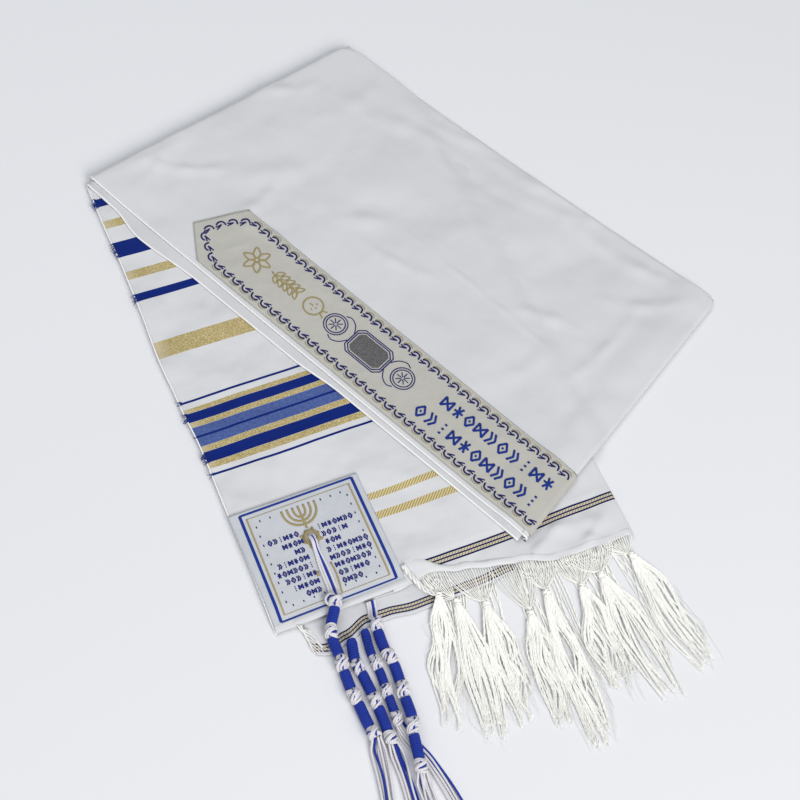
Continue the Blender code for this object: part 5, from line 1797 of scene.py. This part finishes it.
class TALLIT_OT_patch(bpy.types.Operator):
    """Sews on the corner patch with its frame, candlestick and eyelet"""
    bl_idname = "tallit.patch"
    bl_label = "Corner patch"

    def execute(self, context):
        for make in (corner_patch, patch_hem, patch_frame, patch_candlestick, patch_rows, eyelet):
            make()
        return {"FINISHED"}


class TALLIT_OT_tassels(bpy.types.Operator):
    """Ties the four tzitzit"""
    bl_idname = "tallit.tassels"
    bl_label = "Tzitzit"

    def execute(self, context):
        blue = tuple(context.scene.tallit_tassels.blue)
        materials = [yarn("white tassel cord", (0.78, 0.77, 0.80)), yarn("blue tassel cord", blue, groove_shade=0.5)]
        for seed, (name, spec) in enumerate(TZITZIT.items(), 1):
            tassel(name, spec, materials, seed)
        return {"FINISHED"}


class TALLIT_OT_fringe(bpy.types.Operator):
    """Knots the fringe"""
    bl_idname = "tallit.fringe"
    bl_label = "Fringe"

    def execute(self, context):
        material = yarn("fringe thread", (0.96, 0.96, 0.915), 600.0, 0.97, 0.15)
        for number, row in enumerate(FRINGE):
            fringe_tassel(number, row, material, context.scene.tallit_tassels.threads)
        back_fringe(material)
        return {"FINISHED"}


class TALLIT_PT_panel(bpy.types.Panel):
    bl_label = "Folded tallit"
    bl_idname = "TALLIT_PT_panel"
    bl_space_type = "VIEW_3D"
    bl_region_type = "UI"
    bl_category = "Tallit"

    def draw(self, context):
        layout = self.layout
        for group in SETTINGS:
            box = layout.box()
            settings = getattr(context.scene, group)
            for name in settings.__annotations__:
                box.prop(settings, name)
        for operator in OPERATORS:
            layout.operator(operator.bl_idname)


SETTINGS = {
    "tallit_cloth": TallitClothSettings,
    "tallit_neckband": TallitNeckbandSettings,
    "tallit_tassels": TallitTasselSettings,
    "tallit_stage": TallitStageSettings,
}
OPERATORS = (TALLIT_OT_stage, TALLIT_OT_cloth, TALLIT_OT_neckband, TALLIT_OT_patch, TALLIT_OT_tassels,
             TALLIT_OT_fringe)


def register():
    for cls in (*SETTINGS.values(), *OPERATORS, TALLIT_PT_panel):
        bpy.utils.register_class(cls)
    for name, cls in SETTINGS.items():
        setattr(bpy.types.Scene, name, PointerProperty(type=cls))


def unregister():
    for name in SETTINGS:
        delattr(bpy.types.Scene, name)
    for cls in (TALLIT_PT_panel, *reversed(OPERATORS), *reversed(SETTINGS.values())):
        bpy.utils.unregister_class(cls)


# Each sheet of cloth: its cut as width and length in metres, the area of what shows of it, how it is
# held, what it rests on and the pieces that go with it
SHEETS = {
    "body_cloth": (0.285, 0.460, 0.1172, "folded", ["second_layer", "inner_layers"],
                   ["selvedge_threads", "under_fold"]),
    "second_layer": (0.024, 0.470, 0.0075, "folded", ["striped_cloth"], []),
    "striped_cloth": (0.282, 0.432, 0.0460, "laid", ["second_striped_cloth", "inner_layers"],
                      ["rolled_hem", "frayed_ends", "loose_threads", "patch_hem"]),
    "second_striped_cloth": (0.256, 0.036, 0.0065, "laid", ["floor"], ["fringe_threads_back"]),
    "neckband_cloth": (0.064, 0.372, 0.0228, "laid", ["body_cloth"],
                       ["neckband_border", "neckband_gold_motifs", "neckband_medallion", "neckband_rows"]),
    "patch_cloth": (0.103, 0.0955, 0.0097, "laid", ["striped_cloth"],
                    ["patch_frame", "patch_candlestick", "patch_rows", "eyelet_stitches"]),
}


def declare_sheets():
    """Looks up the pieces that go with each sheet of cloth, and does nothing more with them."""
    for name, (width, length, area, held, under, with_it) in SHEETS.items():
        pieces = [bpy.data.objects[each] for each in with_it]
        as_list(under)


def main():
    register()
    bpy.ops.tallit.stage()
    bpy.ops.tallit.cloth()
    bpy.ops.tallit.neckband()
    bpy.ops.tallit.patch()
    bpy.ops.tallit.tassels()
    bpy.ops.tallit.fringe()
    declare_sheets()


if __name__ == "__main__":
    main()
